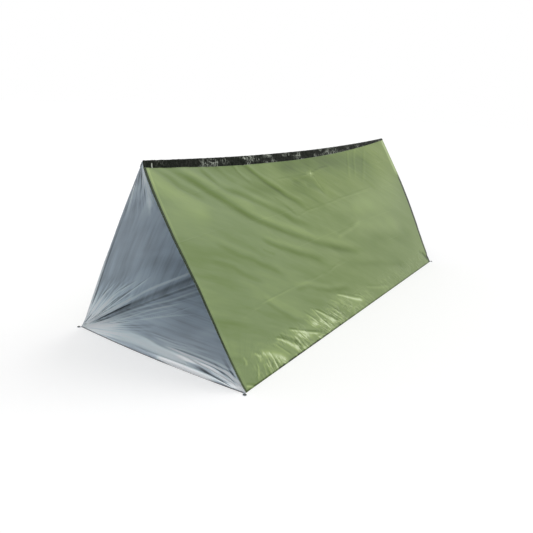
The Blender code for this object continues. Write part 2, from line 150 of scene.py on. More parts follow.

# Folds on the walls' green side, by the distance along and up; their tone is painted shade and highlight
FOLDS = {
    1: (
        # The drape that hangs from the front of the ridge
        Fold(-1.15, 0.45, 19, (60, 1000, 130, 955, 220, 896, 290, 840, 410, 751, 540, 655, 750, 548, 1010, 430,
             1210, 357, 1390, 306, 1500, 280)),
        Fold(0.65, 0, 22, (170, 990, 220, 947, 290, 902, 360, 855, 470, 782, 600, 690)),
        Fold(-0.85, 0.55, 15, (270, 990, 330, 915, 400, 838, 510, 789, 590, 745, 680, 694, 760, 649, 850, 589, 980,
             545)),
        Fold(-0.95, 0.8, 14, (560, 1000, 640, 927, 680, 886, 730, 840, 810, 780, 860, 740, 940, 689, 1030, 625)),
        Fold(-0.55, 0.4, 10, (740, 750, 820, 685, 860, 644, 890, 615)),
        Fold(-0.6, 1.1, 10, (530, 960, 550, 929, 565, 897, 600, 855, 630, 830)),
        Fold(-0.7, 0.5, 13, (20, 1000, 60, 962, 120, 919, 160, 872, 210, 836, 280, 790)),
        Fold(-0.45, 0.5, 13, (380, 990, 420, 940, 470, 880, 530, 845)),
        Fold(0.9, 0, 45, (0, 1020, 45, 930, 95, 860, 170, 780, 260, 700)),
        # Across the middle
        Fold(-0.75, 0.6, 16, (490, 570, 600, 507, 690, 465, 750, 435, 850, 397, 980, 330)),
        Fold(-0.5, 0.3, 8, (480, 520, 520, 495, 570, 470)),
        Fold(-0.6, 0.5, 15, (190, 610, 310, 525, 380, 490, 430, 449, 490, 416, 600, 340)),
        Fold(-0.45, 0.5, 14, (120, 550, 230, 493, 270, 455, 340, 406, 420, 360)),
        Fold(-0.6, 0.9, 14, (570, 280, 710, 262, 790, 227, 910, 185, 1120, 140)),
        Fold(-0.5, 0.5, 14, (330, 320, 420, 223, 470, 182, 520, 144, 640, 90)),
        Fold(-0.45, 0, 22, (1150, 300, 1390, 222, 1570, 182, 1760, 127, 2050, 70)),
        Fold(-0.3, 0, 40, (1500, 350, 1750, 320, 2000, 280, 2300, 220)),
        Fold(0.55, 0.4, 12, (1180, 435, 1390, 451, 1540, 475)),
        Fold(-0.15, 0, 38, (1150, 545, 1340, 530, 1520, 510)),
        # Creases from the pack, with painted highlights as if light fell from above
        Fold(0.45, 0.7, 4.2, (140, 270, 290, 283, 430, 292, 610, 286, 770, 285, 950, 277, 1070, 292, 1280, 290)),
        Fold(0.4, 1.1, 5, (820, 605, 990, 628, 1110, 633, 1250, 636, 1400, 644, 1630, 651, 1950, 660)),
        Fold(0.35, 1.6, 5, (800, 835, 960, 827, 1070, 825, 1150, 830, 1210, 830, 1320, 848, 1500, 856)),
        Fold(0.8, 0.9, 4.5, (1195, 870, 1210, 836, 1225, 787, 1250, 735, 1275, 700)),
        # Broad stretches of painted shade and painted light
        Fold(-0.4, 0, 24, (950, 800, 1060, 800, 1150, 785, 1240, 750)),
        Fold(-0.42, 0, 18, (1040, 825, 1140, 795, 1210, 760, 1270, 700)),
        Fold(-0.3, 0, 50, (680, 850, 850, 872, 1050, 885, 1320, 888)),
        Fold(-0.55, 0, 45, (280, 945, 460, 930, 650, 912, 850, 895)),
        Fold(-0.6, 0, 40, (380, 840, 550, 800, 720, 785, 900, 765, 1200, 730)),
        Fold(0.6, 0, 60, (1380, 465, 1600, 430, 1870, 385, 2150, 330)),
        Fold(0.45, 0, 90, (1450, 560, 1750, 590, 2050, 610, 2400, 610)),
        Fold(-0.62, 0, 17, (1090, 775, 1160, 755, 1220, 730, 1280, 695)),
        Fold(-0.95, 0, 80, (850, 915, 1200, 905, 1600, 885, 1900, 850, 2150, 800)),
        Fold(-0.15, 0, 70, (1300, 345, 1600, 305, 1950, 250, 2380, 150)),
        Fold(0.35, 0, 60, (1100, 585, 1400, 590, 1800, 545, 2380, 450)),
        # Short folds under the band towards the rear
        Fold(0.45, 0.5, 10, (1780, 950, 1720, 863, 1660, 792, 1620, 740)),
        Fold(0.45, 0.5, 10, (1930, 970, 1850, 912, 1760, 800, 1700, 739)),
        Fold(0.35, 0.5, 12, (2040, 950, 1900, 800, 1780, 700)),
        # Two painted glints that cross near the ridge
        Fold(2.2, 0, 5, (1150, 842, 1190, 838, 1240, 832)),
        Fold(1.6, 0, 5, (1185, 812, 1205, 835, 1220, 862)),
        # The crumpled foot: painted glints on its facets and streaks, and painted shade
        Fold(0.45, 0, 60, (0, 50, 300, 70, 700, 80, 1100, 60, 1450, 30)),
        Fold(3, 0.3, 8, (930, 158, 990, 134, 1060, 102, 1130, 70, 1220, 36), 1.1),
        Fold(1.6, 0.3, 4.5, (1120, 100, 1170, 82, 1220, 55)),
        Fold(3, 0.6, 6.5, (680, 150, 730, 116, 790, 68, 870, 10), 0.9),
        Fold(2.3, 0.6, 3.8, (650, 165, 680, 142, 720, 80, 770, 10)),
        Fold(1.3, 0.5, 3.8, (600, 150, 640, 120, 690, 75)),
        Fold(0.9, 0.5, 3.8, (570, 135, 620, 100, 660, 62)),
        Fold(2.2, 0.9, 5.5, (420, 130, 480, 104, 560, 66, 680, 16)),
        Fold(1.2, 0, 10, (470, 92, 520, 66, 600, 32)),
        Fold(2.6, 0.6, 8.5, (310, 128, 360, 98, 420, 50, 460, 10), 1.2),
        Fold(1.4, 0.9, 3.6, (290, 110, 330, 66, 380, 12)),
        Fold(2, 0, 18, (180, 110, 240, 75, 310, 30, 350, -10), 0.8),
        Fold(2.2, 0.7, 4.2, (235, 95, 245, 60, 250, 27, 255, -4)),
        Fold(1.2, 0.8, 4, (200, 110, 210, 80, 215, 45, 220, 0)),
        Fold(1.9, 0.3, 6, (150, 120, 165, 102, 185, 85)),
        Fold(1.5, 0.3, 6, (85, 130, 88, 108, 80, 88)),
        Fold(1.5, 0.4, 4.5, (142, 80, 138, 60, 125, 35, 105, 10)),
        Fold(1.2, 0.4, 4, (175, 60, 172, 35, 165, 5)),
        Fold(2.3, 0.4, 5.8, (25, 22, 45, 12, 75, -10)),
        Fold(1.1, 0.4, 4.5, (860, 150, 910, 120, 950, 90)),
        Fold(1.2, 0.3, 5.5, (860, 80, 890, 62, 920, 48)),
        Fold(-0.8, 0.5, 5, (590, 175, 650, 125, 720, 75)),
        Fold(0.7, 0.5, 8, (1280, 105, 1420, 60, 1600, 20)),
        Fold(-1, 0.5, 5, (350, 135, 400, 100, 470, 48)),
        Fold(-1.2, 0.5, 4.5, (270, 50, 300, 25, 330, 0)),
        # Painted shade in the tuck at the rear corner
        Fold(-1.1, 0, 12, (2240, 120, 2300, 83, 2340, 40, 2370, 10)),
        Fold(-1.2, 0, 14, (2300, 100, 2340, 55, 2370, 45, 2410, 60)),
    ),
    -1: (
        # The drape that hangs from the ridge
        Fold(-1.1, 0.6, 22, (2380, 1000, 2280, 930, 2050, 780, 1800, 640, 1450, 500, 1100, 360)),
        Fold(0.6, 0.3, 22, (2250, 1000, 2160, 930, 1980, 830, 1740, 730)),
        Fold(-0.9, 0.7, 17, (1860, 1000, 1800, 930, 1650, 800, 1420, 690, 1200, 620)),
        Fold(-0.7, 0.5, 18, (2050, 600, 1800, 500, 1500, 360)),
        Fold(-0.8, 0.7, 15, (1340, 1000, 1300, 940, 1150, 840, 900, 760)),
        Fold(-0.9, 0.6, 21, (50, 860, 120, 800, 350, 620, 700, 500, 1000, 440)),
        Fold(-0.6, 0.5, 19, (140, 460, 500, 360, 850, 300)),
        Fold(-0.8, 0.9, 14, (560, 1000, 600, 900, 720, 780, 900, 660)),
        Fold(-0.6, 0.7, 18, (1750, 300, 2000, 240, 2280, 180)),
        # Creases from the pack, with painted highlights
        Fold(0.7, 1, 9, (400, 285, 850, 292, 1300, 280, 1900, 288, 2300, 280)),
        Fold(0.6, 0.9, 11, (300, 640, 900, 655, 1400, 640, 1950, 650)),
        Fold(0.5, 1, 10, (1200, 845, 1600, 835, 1950, 848)),
        # The crumpled foot: painted glints on its facets and streaks
        Fold(0.45, 0, 60, (2400, 50, 2100, 70, 1700, 80, 1300, 60, 950, 30)),
        Fold(1.8, 0.5, 7, (1700, 140, 1660, 90, 1600, 20)),
        Fold(1.9, 0.5, 7, (2020, 130, 1920, 80, 1780, 20)),
        Fold(1.7, 0.5, 6, (2200, 110, 2120, 60, 2060, 10)),
        Fold(1.5, 0.5, 7, (1500, 150, 1420, 90, 1300, 30)),
        Fold(1.2, 0.5, 8, (1220, 120, 1100, 70, 1000, 20)),
        Fold(1.4, 0.5, 5, (2290, 90, 2270, 50, 2250, 0)),
    ),
}

# Pleats on a wall's silver side near a mouth, by the distance in from it and up; their tone is painted
# reflection, light streaks above zero and dark streaks below
PLEATS = (
    Fold(-2.7, 0, 6, (0, 0, 80, 4, 140, 15, 220, 30, 330, 40)),
    Fold(3.6, 0, 6.5, (0, 0, 30, 9, 80, 27, 140, 50, 220, 74, 330, 103)),
    Fold(2.8, 0, 5, (10, 0, 70, 71, 110, 138, 160, 201, 220, 237)),
    Fold(2.8, 0, 4.8, (10, 0, 80, 34, 140, 77, 230, 102, 320, 128)),
    Fold(-2.4, 0, 5, (20, 4, 60, 40, 110, 86, 180, 135, 240, 160)),
    Fold(-2.4, 0, 4.5, (20, 4, 70, 30, 130, 62, 200, 92, 280, 120)),
    Fold(3, 0, 10.5, (-100, -30, 40, 2, 130, 21, 180, 40, 240, 61, 310, 83, 380, 105, 470, 113, 570, 118, 740, 128,
         1000, 160)),
    Fold(-1.25, 0, 22, (30, 0, 150, 8, 250, 24, 450, 45, 750, 62, 1200, 80)),
    Fold(0.8, 0.4, 5, (120, 40, 170, 73, 220, 110, 250, 130)),
    Fold(2.6, 0.5, 5, (10, -30, 35, 40, 45, 109, 70, 193, 110, 245, 130, 280)),
    Fold(2.4, 0.5, 5, (20, -50, 50, 40, 80, 103, 150, 175, 240, 210, 300, 230)),
    Fold(2.6, 0.6, 4.5, (-20, -50, 40, 1, 140, 68, 220, 131, 320, 190, 380, 220)),
    Fold(1.4, 0.3, 4, (-20, -40, 50, -2, 170, 50, 260, 85, 320, 110)),
    Fold(0.8, 0, 14, (20, -40, 50, 36, 70, 85, 80, 139, 90, 190)),
    Fold(0.9, 0.5, 5, (0, -50, 50, 12, 110, 108, 170, 146, 230, 194, 270, 220)),
    Fold(0.9, 0.5, 6, (20, -50, 60, 33, 120, 139, 200, 189, 260, 220)),
    Fold(0.6, 0.4, 6, (10, 0, 50, 83, 110, 175, 170, 250)),
    Fold(0.6, 0.5, 6, (280, 165, 310, 180, 350, 206, 390, 230)),
    Fold(0.5, 0.4, 7, (30, 50, 65, 139, 90, 220)),
    Fold(0.9, 0, 24, (0, -20, 40, 60, 70, 120, 100, 200)),
    Fold(-0.3, 0, 55, (-40, 340, 70, 300, 140, 280, 280, 250)),
    Fold(1.5, 0.6, 7, (0, 1020, 30, 957, 50, 907, 66, 870, 75, 833, 90, 770)),
    Fold(1.3, 0.7, 6, (40, 970, 62, 923, 90, 879, 130, 815)),
    Fold(1.2, 0.4, 6, (130, 790, 150, 749, 170, 705, 180, 670)),
    Fold(0.5, 0.4, 6, (30, 930, 42, 870, 50, 815, 60, 740)),
    Fold(-0.8, 0, 10, (0, 990, 20, 948, 30, 901, 37, 860)),
    Fold(-0.6, 0, 6, (40, 950, 62, 905, 87, 855, 110, 815)),
    Fold(0.35, 0, 55, (100, 740, 220, 660, 340, 560, 400, 460)),
    Fold(-0.35, 0, 60, (280, 380, 450, 280, 700, 200)),
    Fold(-0.25, 0, 35, (30, 700, 60, 600, 100, 480)),
    Fold(0.7, 0, 55, (20, 910, 100, 830, 190, 730)),
)

# Pleats on the floor near a mouth, by the distance across from its left corner and in from the mouth; their
# tone is painted reflection, light streaks above zero and dark streaks below
FLOOR_PLEATS = (
    Fold(2.4, 0, 7.5, (36, -60, 33, 50, 29, 180, 35, 300, 56, 440, 83, 530, 99, 680, 105, 850)),
    Fold(1.6, 0, 8, (20, 50, 41, 150, 59, 240, 92, 350, 149, 480, 180, 550)),
    Fold(0.7, 0, 9, (45, 80, 90, 170, 125, 260, 150, 350, 180, 430)),
    Fold(0.7, 0, 10, (150, 220, 187, 280, 242, 390, 270, 450)),
    Fold(0.9, 0, 7, (20, 400, 37, 530, 66, 790, 80, 950)),
    Fold(0.5, 0, 9, (125, 500, 137, 560, 169, 700, 190, 800)),
    Fold(-1.3, 0, 16, (3, 0, 8, 200, 14, 450, 24, 700, 35, 1000, 50, 1400)),
    Fold(-0.5, 0, 16, (60, 300, 100, 480, 130, 620, 150, 850)),
    Fold(-0.8, 0, 17, (110, 100, 139, 140, 212, 200, 280, 250)),
    Fold(2.4, 0, 50, (-100, 30, 100, 60, 300, 78, 450, 78, 620, 60, 800, 40)),
    Fold(1.5, 0, 34, (-60, -20, 30, 50, 90, 100, 140, 160)),
    Fold(0.6, 0, 9, (360, 160, 424, 150, 511, 140, 601, 160, 660, 165)),
    Fold(-0.8, 0, 11, (380, 120, 443, 112, 521, 112, 600, 110, 680, 105)),
    Fold(0.6, 0, 6, (140, 115, 250, 128, 340, 120, 450, 108)),
    Fold(4.6, 0.4, 7.2, (440, 122, 568, 117, 695, 115, 820, 100, 888, 77, 981, 20, 1080, -50)),
    Fold(6, 0, 16, (550, 92, 637, 86, 743, 83, 825, 62, 898, 38, 962, 14, 1100, -40)),
    Fold(-3.4, 0, 6.2, (660, 98, 740, 98, 818, 83, 891, 57, 951, 30, 1060, -10)),
    Fold(-2.6, 0, 8, (600, 70, 687, 66, 781, 44, 860, 26, 940, 8, 1040, -20)),
    Fold(1.1, 0.5, 6, (280, 172, 356, 176, 456, 177, 553, 187, 625, 187, 700, 190)),
    Fold(1.1, 0.5, 5.5, (330, 154, 398, 156, 497, 157, 581, 176, 650, 185)),
    Fold(1.2, 0.5, 6, (430, 133, 508, 137, 607, 146, 718, 144, 798, 131, 880, 110)),
    Fold(2.4, 0.3, 5.5, (-30, 0, 40, 70, 74, 124, 91, 245, 109, 386, 147, 500, 180, 600)),
    Fold(2, 0.4, 5.5, (20, 20, 111, 147, 154, 239, 211, 341, 285, 434, 340, 500)),
    Fold(1.1, 0.5, 4.5, (90, 200, 127, 290, 153, 370, 186, 460, 210, 520)),
    Fold(1.1, 0.5, 5, (130, 240, 173, 310, 214, 380, 238, 500, 250, 580)),
    Fold(5.6, 0, 11, (500, 20, 613, 18, 667, 18, 735, 16, 802, 10, 880, 0)),
    Fold(-0.3, 0, 7.5, (100, 22, 320, 22, 520, 22, 560, 24)),
    Fold(0.65, 0, 110, (450, 360, 700, 330, 950, 300)),
)

# Loose rolls of the floor's film near a mouth, by the distance across and in
ROLLS = (
    Roll(6.2, 9, (500, 105, 628, 89, 703, 72, 782, 60, 862, 42, 913, 30, 975, 14)),
    Roll(4.2, 6, (600, 112, 692, 100, 782, 86, 832, 78, 877, 60, 927, 42, 980, 18)),
    Roll(4.6, 8, (200, 26, 450, 28, 660, 34, 840, 26, 970, 12)),
    Roll(2.6, 12, (150, 110, 300, 120, 450, 100, 580, 100)),
)

# How far the right wall's front edge stands forward of its lean, by the share of the slope
FRONT_EDGE = ((0.0, 0.0), (0.05, 0.009), (0.14, 0.014), (0.28, 0.016), (0.42, 0.018), (0.55, 0.025), (0.67, 0.031),
              (0.80, 0.030), (0.91, 0.025), (0.965, 0.018), (1.0, 0.0))

BILLOW = 0.0050          # the walls' middle stands out this far
DENT_REACH = 0.100       # dents die out over this distance from a crease
DENT_SHARE = 0.55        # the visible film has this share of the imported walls' dents
FOLD_REACH = 0.030       # the finer folds die out over this distance
FOLD_START = 0.15        # a fold eases in over this share of its line
FOLD_END = 0.22          # and out over this one
EDGE_PLACE = 1.7         # its opposite edge lies this many widths above it
RELIEF = 0.3             # its height is its tone times this share of its width past a fine fold's
FINE_FOLD = 0.005        # a fold this narrow has no height
DEEP_FOLD = 0.016        # a fold's width counts this far past that
HILL = 0.0012            # height of the random hills between folds
FOOT_HEIGHT = 0.030      # below this the left wall's film lies wholly clear of the floor's
LEFT_FRONT_BOW = 0.003   # how far the left wall's front edge bows
REAR_BOW = {1: 0.037, -1: 0.010}   # and the right and left walls' rear edges
FRONT_BOW_REACH = 0.25   # the bow of a wall's front edge dies out this far along
REAR_BOW_REACH = 0.35    # and its rear edge's this far
FLOOR_BOW_REACH = 0.45   # and the floor's front edge's this far
ROLL_START = 0.45        # a roll eases in over this share of its line
ROLL_END = 0.12          # and out over this one
OFF_GROUND = 0.0008      # where the floor's top is raised more than this, its underside rises too
LEFT_FOOT = 0.0006       # the left wall's film starts this much higher up, clear of the floor's
SKIN = 0.15              # the visible film lies inside its solid's faces by this share of its thickness
BAND_FILM = 0.0008       # thickness of the band's film
BAND_WOBBLE = 0.0012     # and how unevenly its edges are cut
CREST = 0.0025           # the band turns over the ridge within this distance
HEM_AROUND = 16          # points round a hem's section
HEM_LOOSE = 0.0003       # a hem stands off its wall's middle by this much between knee and band

# How much wider than its size a wall's hem is near the foot and above, by its end and side
HEM_SPREAD = {(-1, 1): (0.60, 0.80), (-1, -1): (0.60, 0.0), (1, 1): (0.10, 0.0), (1, -1): (0.60, 0.0)}


def smooth(value):
    """Ease from 0 to 1: 3t^2 - 2t^3 of the value held between 0 and 1."""
    value = np.clip(value, 0.0, 1.0)
    return value * value * (3 - 2 * value)


def value_noise(u, v, seed):
    """Smooth random hills, 0 to 1: seeded numbers on a unit lattice, eased between its corners."""
    table = np.random.default_rng(seed).random((64, 64))
    column, row = np.floor(u).astype(int), np.floor(v).astype(int)
    s, t = smooth(u - column), smooth(v - row)
    low = table[row % 64, column % 64] * (1 - s) + table[row % 64, (column + 1) % 64] * s
    high = table[(row + 1) % 64, column % 64] * (1 - s) + table[(row + 1) % 64, (column + 1) % 64] * s
    return low * (1 - t) + high * t


def curve_through(points, steps=8):
    """A Catmull-Rom curve: each piece is the cubic set by its two ends and their neighbours."""
    p = np.array(points, float)
    p = np.vstack([2 * p[0] - p[1], p, 2 * p[-1] - p[-2]])
    t = np.linspace(0, 1, steps, endpoint=False)[:, None]
    pieces = []
    for a, b, c, d in zip(p, p[1:], p[2:], p[3:]):
        square, cube = 2 * a - 5 * b + 4 * c - d, 3 * b - a - 3 * c + d
        pieces.append(0.5 * (2 * b + (c - a) * t + square * t ** 2 + cube * t ** 3))
    return np.vstack(pieces + [p[-2:-1]])


def in_metres(line):
    """A line's places, one a row, from its list in millimetres."""
    return np.reshape(line, (-1, 2)) / 1000


def from_curve(points, along, up):
    """Distance from a smooth curve, below it positive, and the share of the curve where it is nearest."""
    line = curve_through(points)
    best = np.full(along.shape, 9.0)
    below = np.zeros(along.shape)
    share = np.zeros(along.shape)
    lengths = np.linalg.norm(np.diff(line, axis=0), axis=1)
    starts = np.concatenate([[0], np.cumsum(lengths)]) / lengths.sum()
    for (a, b, length, start) in zip(line, line[1:], lengths, starts):
        run = (b - a) / length
        t = np.clip(((along - a[0]) * run[0] + (up - a[1]) * run[1]) / length, 0, 1)
        off = np.hypot(along - a[0] - t * length * run[0], up - a[1] - t * length * run[1])
        side = (along - a[0]) * run[1] - (up - a[1]) * run[0]
        nearer = off < best
        best = np.where(nearer, off, best)
        below = np.where(nearer, np.sign(side) * np.sign(run[0]) * off, below)
        share = np.where(nearer, start + t * length / lengths.sum(), share)
    return below, share


def pleated(folds, along, up):
    """Painted tone and relief of folds at a place: tone is painted highlight above zero and painted shade
    below, relief is in metres.

    Each fold adds its rise times a bell, exp(-(d / w)^2) of the distance d from its line, less its edge
    times the same bell EDGE_PLACE widths above. Both ease in and out along it.
    """
    tone, relief = np.zeros(along.shape), np.zeros(along.shape)
    for fold in folds:
        line, width = in_metres(fold.line), fold.width / 1000
        low, high = line.min(axis=0) - 4 * width, line.max(axis=0) + 4 * width
        near = (along > low[0]) & (along < high[0]) & (up > low[1]) & (up < high[1])
        if not near.any():
            continue
        below, share = from_curve(line, along[near], up[near])
        off = below / (width * (1 + fold.flare * (share - 0.5)))
        bells = np.exp(-off ** 2) - fold.edge * np.exp(-(off + EDGE_PLACE) ** 2)
        level = fold.rise * smooth(share / FOLD_START) * smooth((1 - share) / FOLD_END) * bells
        tone[near] += level
        relief[near] += level * RELIEF * np.clip(width - FINE_FOLD, 0.0, DEEP_FOLD)
    return tone, relief


class TentShape:
    """The tent's lines and surfaces, worked out from its sizes."""

    def __init__(self, sizes):
        self.half = sizes.floor_width / 2
        self.slope = sizes.wall_slope
        self.length = sizes.length
        self.film = sizes.film
        self.hem_width = sizes.hem_width
        self.sizes = sizes
        self.knee = (self.slope - self.half) / 2
        self.crease_height = self.film + GAP / 2
        self.cos = self.half / self.slope
        self.sin = math.sqrt(1 - self.cos ** 2)
        self.wall_end = self.length / 2 - self.hem_width - GAP
        self.film_end = self.wall_end - self.hem_width - GAP

    def station(self, y):
        """Share of the way along the film, 0 at the front."""
        return np.clip((y + self.film_end) / (2 * self.film_end), 0, 1)

    def sag(self, y):
        """Drop of the ridge: 4t(1 - t) times its middle sag."""
        t = self.station(y)
        return self.sizes.ridge_sag * 4 * t * (1 - t)

    def band_depth(self, y):
        """Depth of the band down a wall: the parabola through front, middle and rear."""
        t = self.station(y)
        front, middle, rear = self.sizes.band_front, self.sizes.band_middle, self.sizes.band_rear
        return front + (rear - front) * t + (middle - (front + rear) / 2) * 4 * t * (1 - t)

    def top(self, y):
        """Slope distance of a wall's top edge."""
        return self.slope - GAP - self.sag(y) * self.sin

    def to_crease(self, y, up):
        """Slope distance to the nearest of the base, knee and ridge creases."""
        lower = np.minimum(up, self.knee - up)
        return np.maximum(np.where(up < self.knee, lower, np.minimum(up - self.knee, self.top(y) - up)), 0)

    def solid_offset(self, side, y, up):
        """The silver face's broad form, out from the plane through the creases.

        Half a gap, less a share of each dent's depth times exp(-(distance / width)^2); above the knee also
        the billow's half sine, less the sag times the cube of the rise.
        """
        along = y + self.length / 2
        offset = np.zeros(np.broadcast(y, up).shape)
        for dent in DENTS[side]:
            start, end = in_metres(dent.line)
            run = end - start
            share = np.clip(((along - start[0]) * run[0] + (up - start[1]) * run[1]) / (run @ run), 0, 1)
            off = np.hypot(along - start[0] - share * run[0], up - start[1] - share * run[1])
            offset = offset - dent.depth / 1000 * np.exp(-(off / (dent.width / 1000)) ** 2)
        offset = GAP / 2 + DENT_SHARE * smooth(self.to_crease(y, up) / DENT_REACH) * offset
        rise = np.clip((up - self.knee) / (self.top(y) - self.knee), 0, 1)
        return offset + BILLOW * np.sin(math.pi * rise) - self.sag(y) * self.cos * rise ** 3

    def fold_offset(self, side, y, up):
        """The drape's finer folds, with low random hills between them.

        A lower strip only folds inwards, because its green face lies on the ground when the tent is folded.
        """
        along = y + self.length / 2
        along, up = np.broadcast_arrays(along, up)
        slanted = up + 0.55 * side * along
        hills = value_noise(along * 3.1 + 7, slanted * 13.0 + 33, 11 + side) - 0.5
        offset = (pleated(FOLDS[side], along, up)[1] + HILL * hills) * self.sizes.drape
        offset = offset * smooth(self.to_crease(y, up) / FOLD_REACH)
        return np.where(up < self.knee, np.minimum(offset, 0.0), offset)

    def silver_offset(self, side, y, up):
        """The visible film's silver face: the broad form with the finer folds on it.

        Below its knee the left wall slants in by a film's thickness, over the floor's film.
        """
        offset = self.solid_offset(side, y, up) + self.fold_offset(side, y, up)
        if side < 0:
            foot = (self.knee - GAP - up) / (self.knee - GAP - FOOT_HEIGHT)
            offset = offset - (self.film + GAP) * np.clip(foot, 0, 1)
        return offset

    def forward(self, side, y, up):
        """How far a place lies along the tent from its flat one.

        The mouths lean outwards by a share of the rise above the square foot, and their edges bow by a half
        sine, to the power of 1.3, up the wall. The right wall's front edge bows by its own curve.
        """
        t = self.station(y)
        rise = np.maximum(up - SQUARE_FOOT, 0) / (self.slope - SQUARE_FOOT)
        lean = rise * (self.sizes.rear_lean * t - self.sizes.front_lean * (1 - t))
        bend = np.sin(math.pi * np.clip(up / self.slope, 0, 1)) ** 1.3
        bow = np.interp(up / self.slope, *curve_through(FRONT_EDGE).T) if side > 0 else LEFT_FRONT_BOW * bend
        return (lean - bow * smooth(1 - (y + self.wall_end) / FRONT_BOW_REACH)
                + REAR_BOW[side] * bend * smooth(1 - (self.wall_end - y) / REAR_BOW_REACH))

    def floor_forward(self, y, x):
        """How far a place on the floor lies along the tent: its loose front edge bows out as a parabola."""
        ease = smooth(1 - (y + self.length / 2) / FLOOR_BOW_REACH)
        return -self.sizes.floor_bow * ease * (1 - (x / self.half) ** 2)

    def wall(self, side, y, up, offset):
        """World places on a wall, side +1 right or -1 left, offset outwards from its crease plane."""
        x = side * (self.half - up * self.cos + offset * self.sin)
        z = self.crease_height + up * self.sin + offset * self.cos
        return np.stack(np.broadcast_arrays(x, y + self.forward(side, y, up), z), axis=-1)


def shape():
    """The tent's shape from the sizes in the sidebar."""
    return TentShape(bpy.context.scene.tube_tent_sizes)


def uneven(stops):
    """Values from (start, end, step) runs that meet, each run cut into even steps near its own size."""
    runs = [np.linspace(a, b, max(int(round((b - a) / step)), 1), endpoint=False) for a, b, step in stops]
    return np.concatenate(runs + [[stops[-1][1]]])


# Meshes

def mesh_object(name, points, faces, places, materials, face_materials, tone=None):
    """A smooth mesh object at the origin, with its edges sharper than 50 degrees kept sharp.

    Its UV map "place" holds each point's place on the piece, and its attribute "tone" its painted shade
    and highlight.
    """
    mesh = bpy.data.meshes.new(name)
    mesh.from_pydata(points.reshape(-1, 3).tolist(), [], faces)
    corners = np.zeros(len(mesh.loops), int)
    mesh.loops.foreach_get("vertex_index", corners)
    layer = mesh.uv_layers.new(name="place")
    layer.data.foreach_set("uv", places.reshape(-1, 2)[corners].astype(np.float32).ravel())
    if tone is not None:
        mesh.attributes.new("tone", "FLOAT", "POINT").data.foreach_set("value", tone.astype(np.float32).ravel())
    for item in materials:
        mesh.materials.append(item)
    mesh.polygons.foreach_set("material_index", face_materials.astype(np.int32))
    mesh.shade_smooth()
    mesh.set_sharp_from_angle(angle=math.radians(50))
    mesh.validate()
    mesh.update()
    made = bpy.data.objects.new(name, mesh)
    bpy.context.scene.collection.objects.link(made)
    return made


def closed_sheet(name, inner, outer, places, inside, outside, tones=None):
    """A thin closed sheet between two equal grids of points, joined round their border.

    The inner grid's faces wear the inside material, the rest the outside one. Rows run up and columns
    along, so that the outer face's corners go round anticlockwise seen from outside.
    """
    rows, columns = inner.shape[:2]
    index = np.arange(rows * columns).reshape(rows, columns)
    cell = np.stack([index[:-1, :-1], index[:-1, 1:], index[1:, 1:], index[1:, :-1]], axis=-1).reshape(-1, 4)
    border = np.concatenate([index[0, :-1], index[:-1, -1], index[-1, :0:-1], index[:0:-1, 0]])
    onward = np.roll(border, -1)
    count = rows * columns
    rim = np.stack([border, onward, onward + count, border + count], axis=-1)
    first = outer[0, 1] - outer[0, 0]
    second = outer[1, 0] - outer[0, 0]
    if np.dot(np.cross(first, second), outer[0, 0] - inner[0, 0]) > 0:
        faces = np.concatenate([cell[:, ::-1], cell + count, rim])
    else:
        faces = np.concatenate([cell, cell[:, ::-1] + count, rim[:, ::-1]])
    which = np.concatenate([np.zeros(len(cell)), np.ones(len(cell) + len(rim))])
    points = np.concatenate([inner.reshape(-1, 3), outer.reshape(-1, 3)])
    both = np.concatenate([places.reshape(-1, 2)] * 2)
    tone = None if tones is None else np.concatenate([tones[0].ravel(), tones[1].ravel()])
    return mesh_object(name, points, faces.tolist(), both, [inside, outside], which, tone)


def closed_tube(name, rings, places, materials, around_materials):
    """A tube through rings of points, closed at both ends by a fan to the end ring's middle."""
    count, around = rings.shape[:2]
    index = np.arange(count * around).reshape(count, around)
    onward = np.roll(index, -1, axis=1)
    sides = np.stack([index[:-1], onward[:-1], onward[1:], index[1:]], axis=-1).reshape(-1, 4)
    start = np.stack([np.full(around, count * around), onward[0], index[0]], axis=-1)
    end = np.stack([np.full(around, count * around + 1), index[-1], onward[-1]], axis=-1)
    points = np.concatenate([rings.reshape(-1, 3), [rings[0].mean(0), rings[-1].mean(0)]])
    outward = rings[0, 0] - rings[0].mean(0)
    if np.dot(np.cross(rings[0, 1] - rings[0, 0], rings[1, 0] - rings[0, 0]), outward) < 0:
        sides, start, end = sides[:, ::-1], start[:, ::-1], end[:, ::-1]
    both = np.concatenate([places.reshape(-1, 2), places[0, :1], places[-1, :1]])
    which = np.concatenate([np.tile(around_materials, count - 1), np.zeros(2 * around)])
    return mesh_object(name, points, sides.tolist() + start.tolist() + end.tolist(), both, materials, which)


# Materials

class Number:
    """A number that varies over a surface. Each operator adds one Math node."""

    def __init__(self, web, socket):
        self.web, self.socket = web, socket

    def __add__(self, other):
        return self.web.math("ADD", self, other)

    def __sub__(self, other):
        return self.web.math("SUBTRACT", self, other)

    def __rsub__(self, other):
        return self.web.math("SUBTRACT", other, self)

    def __mul__(self, other):
        return self.web.math("MULTIPLY", self, other)

    def __truediv__(self, other):
        return self.web.math("DIVIDE", self, other)

    def __rtruediv__(self, other):
        return self.web.math("DIVIDE", other, self)

    def __abs__(self):
        return self.web.math("ABSOLUTE", self)

    __radd__ = __add__
    __rmul__ = __mul__


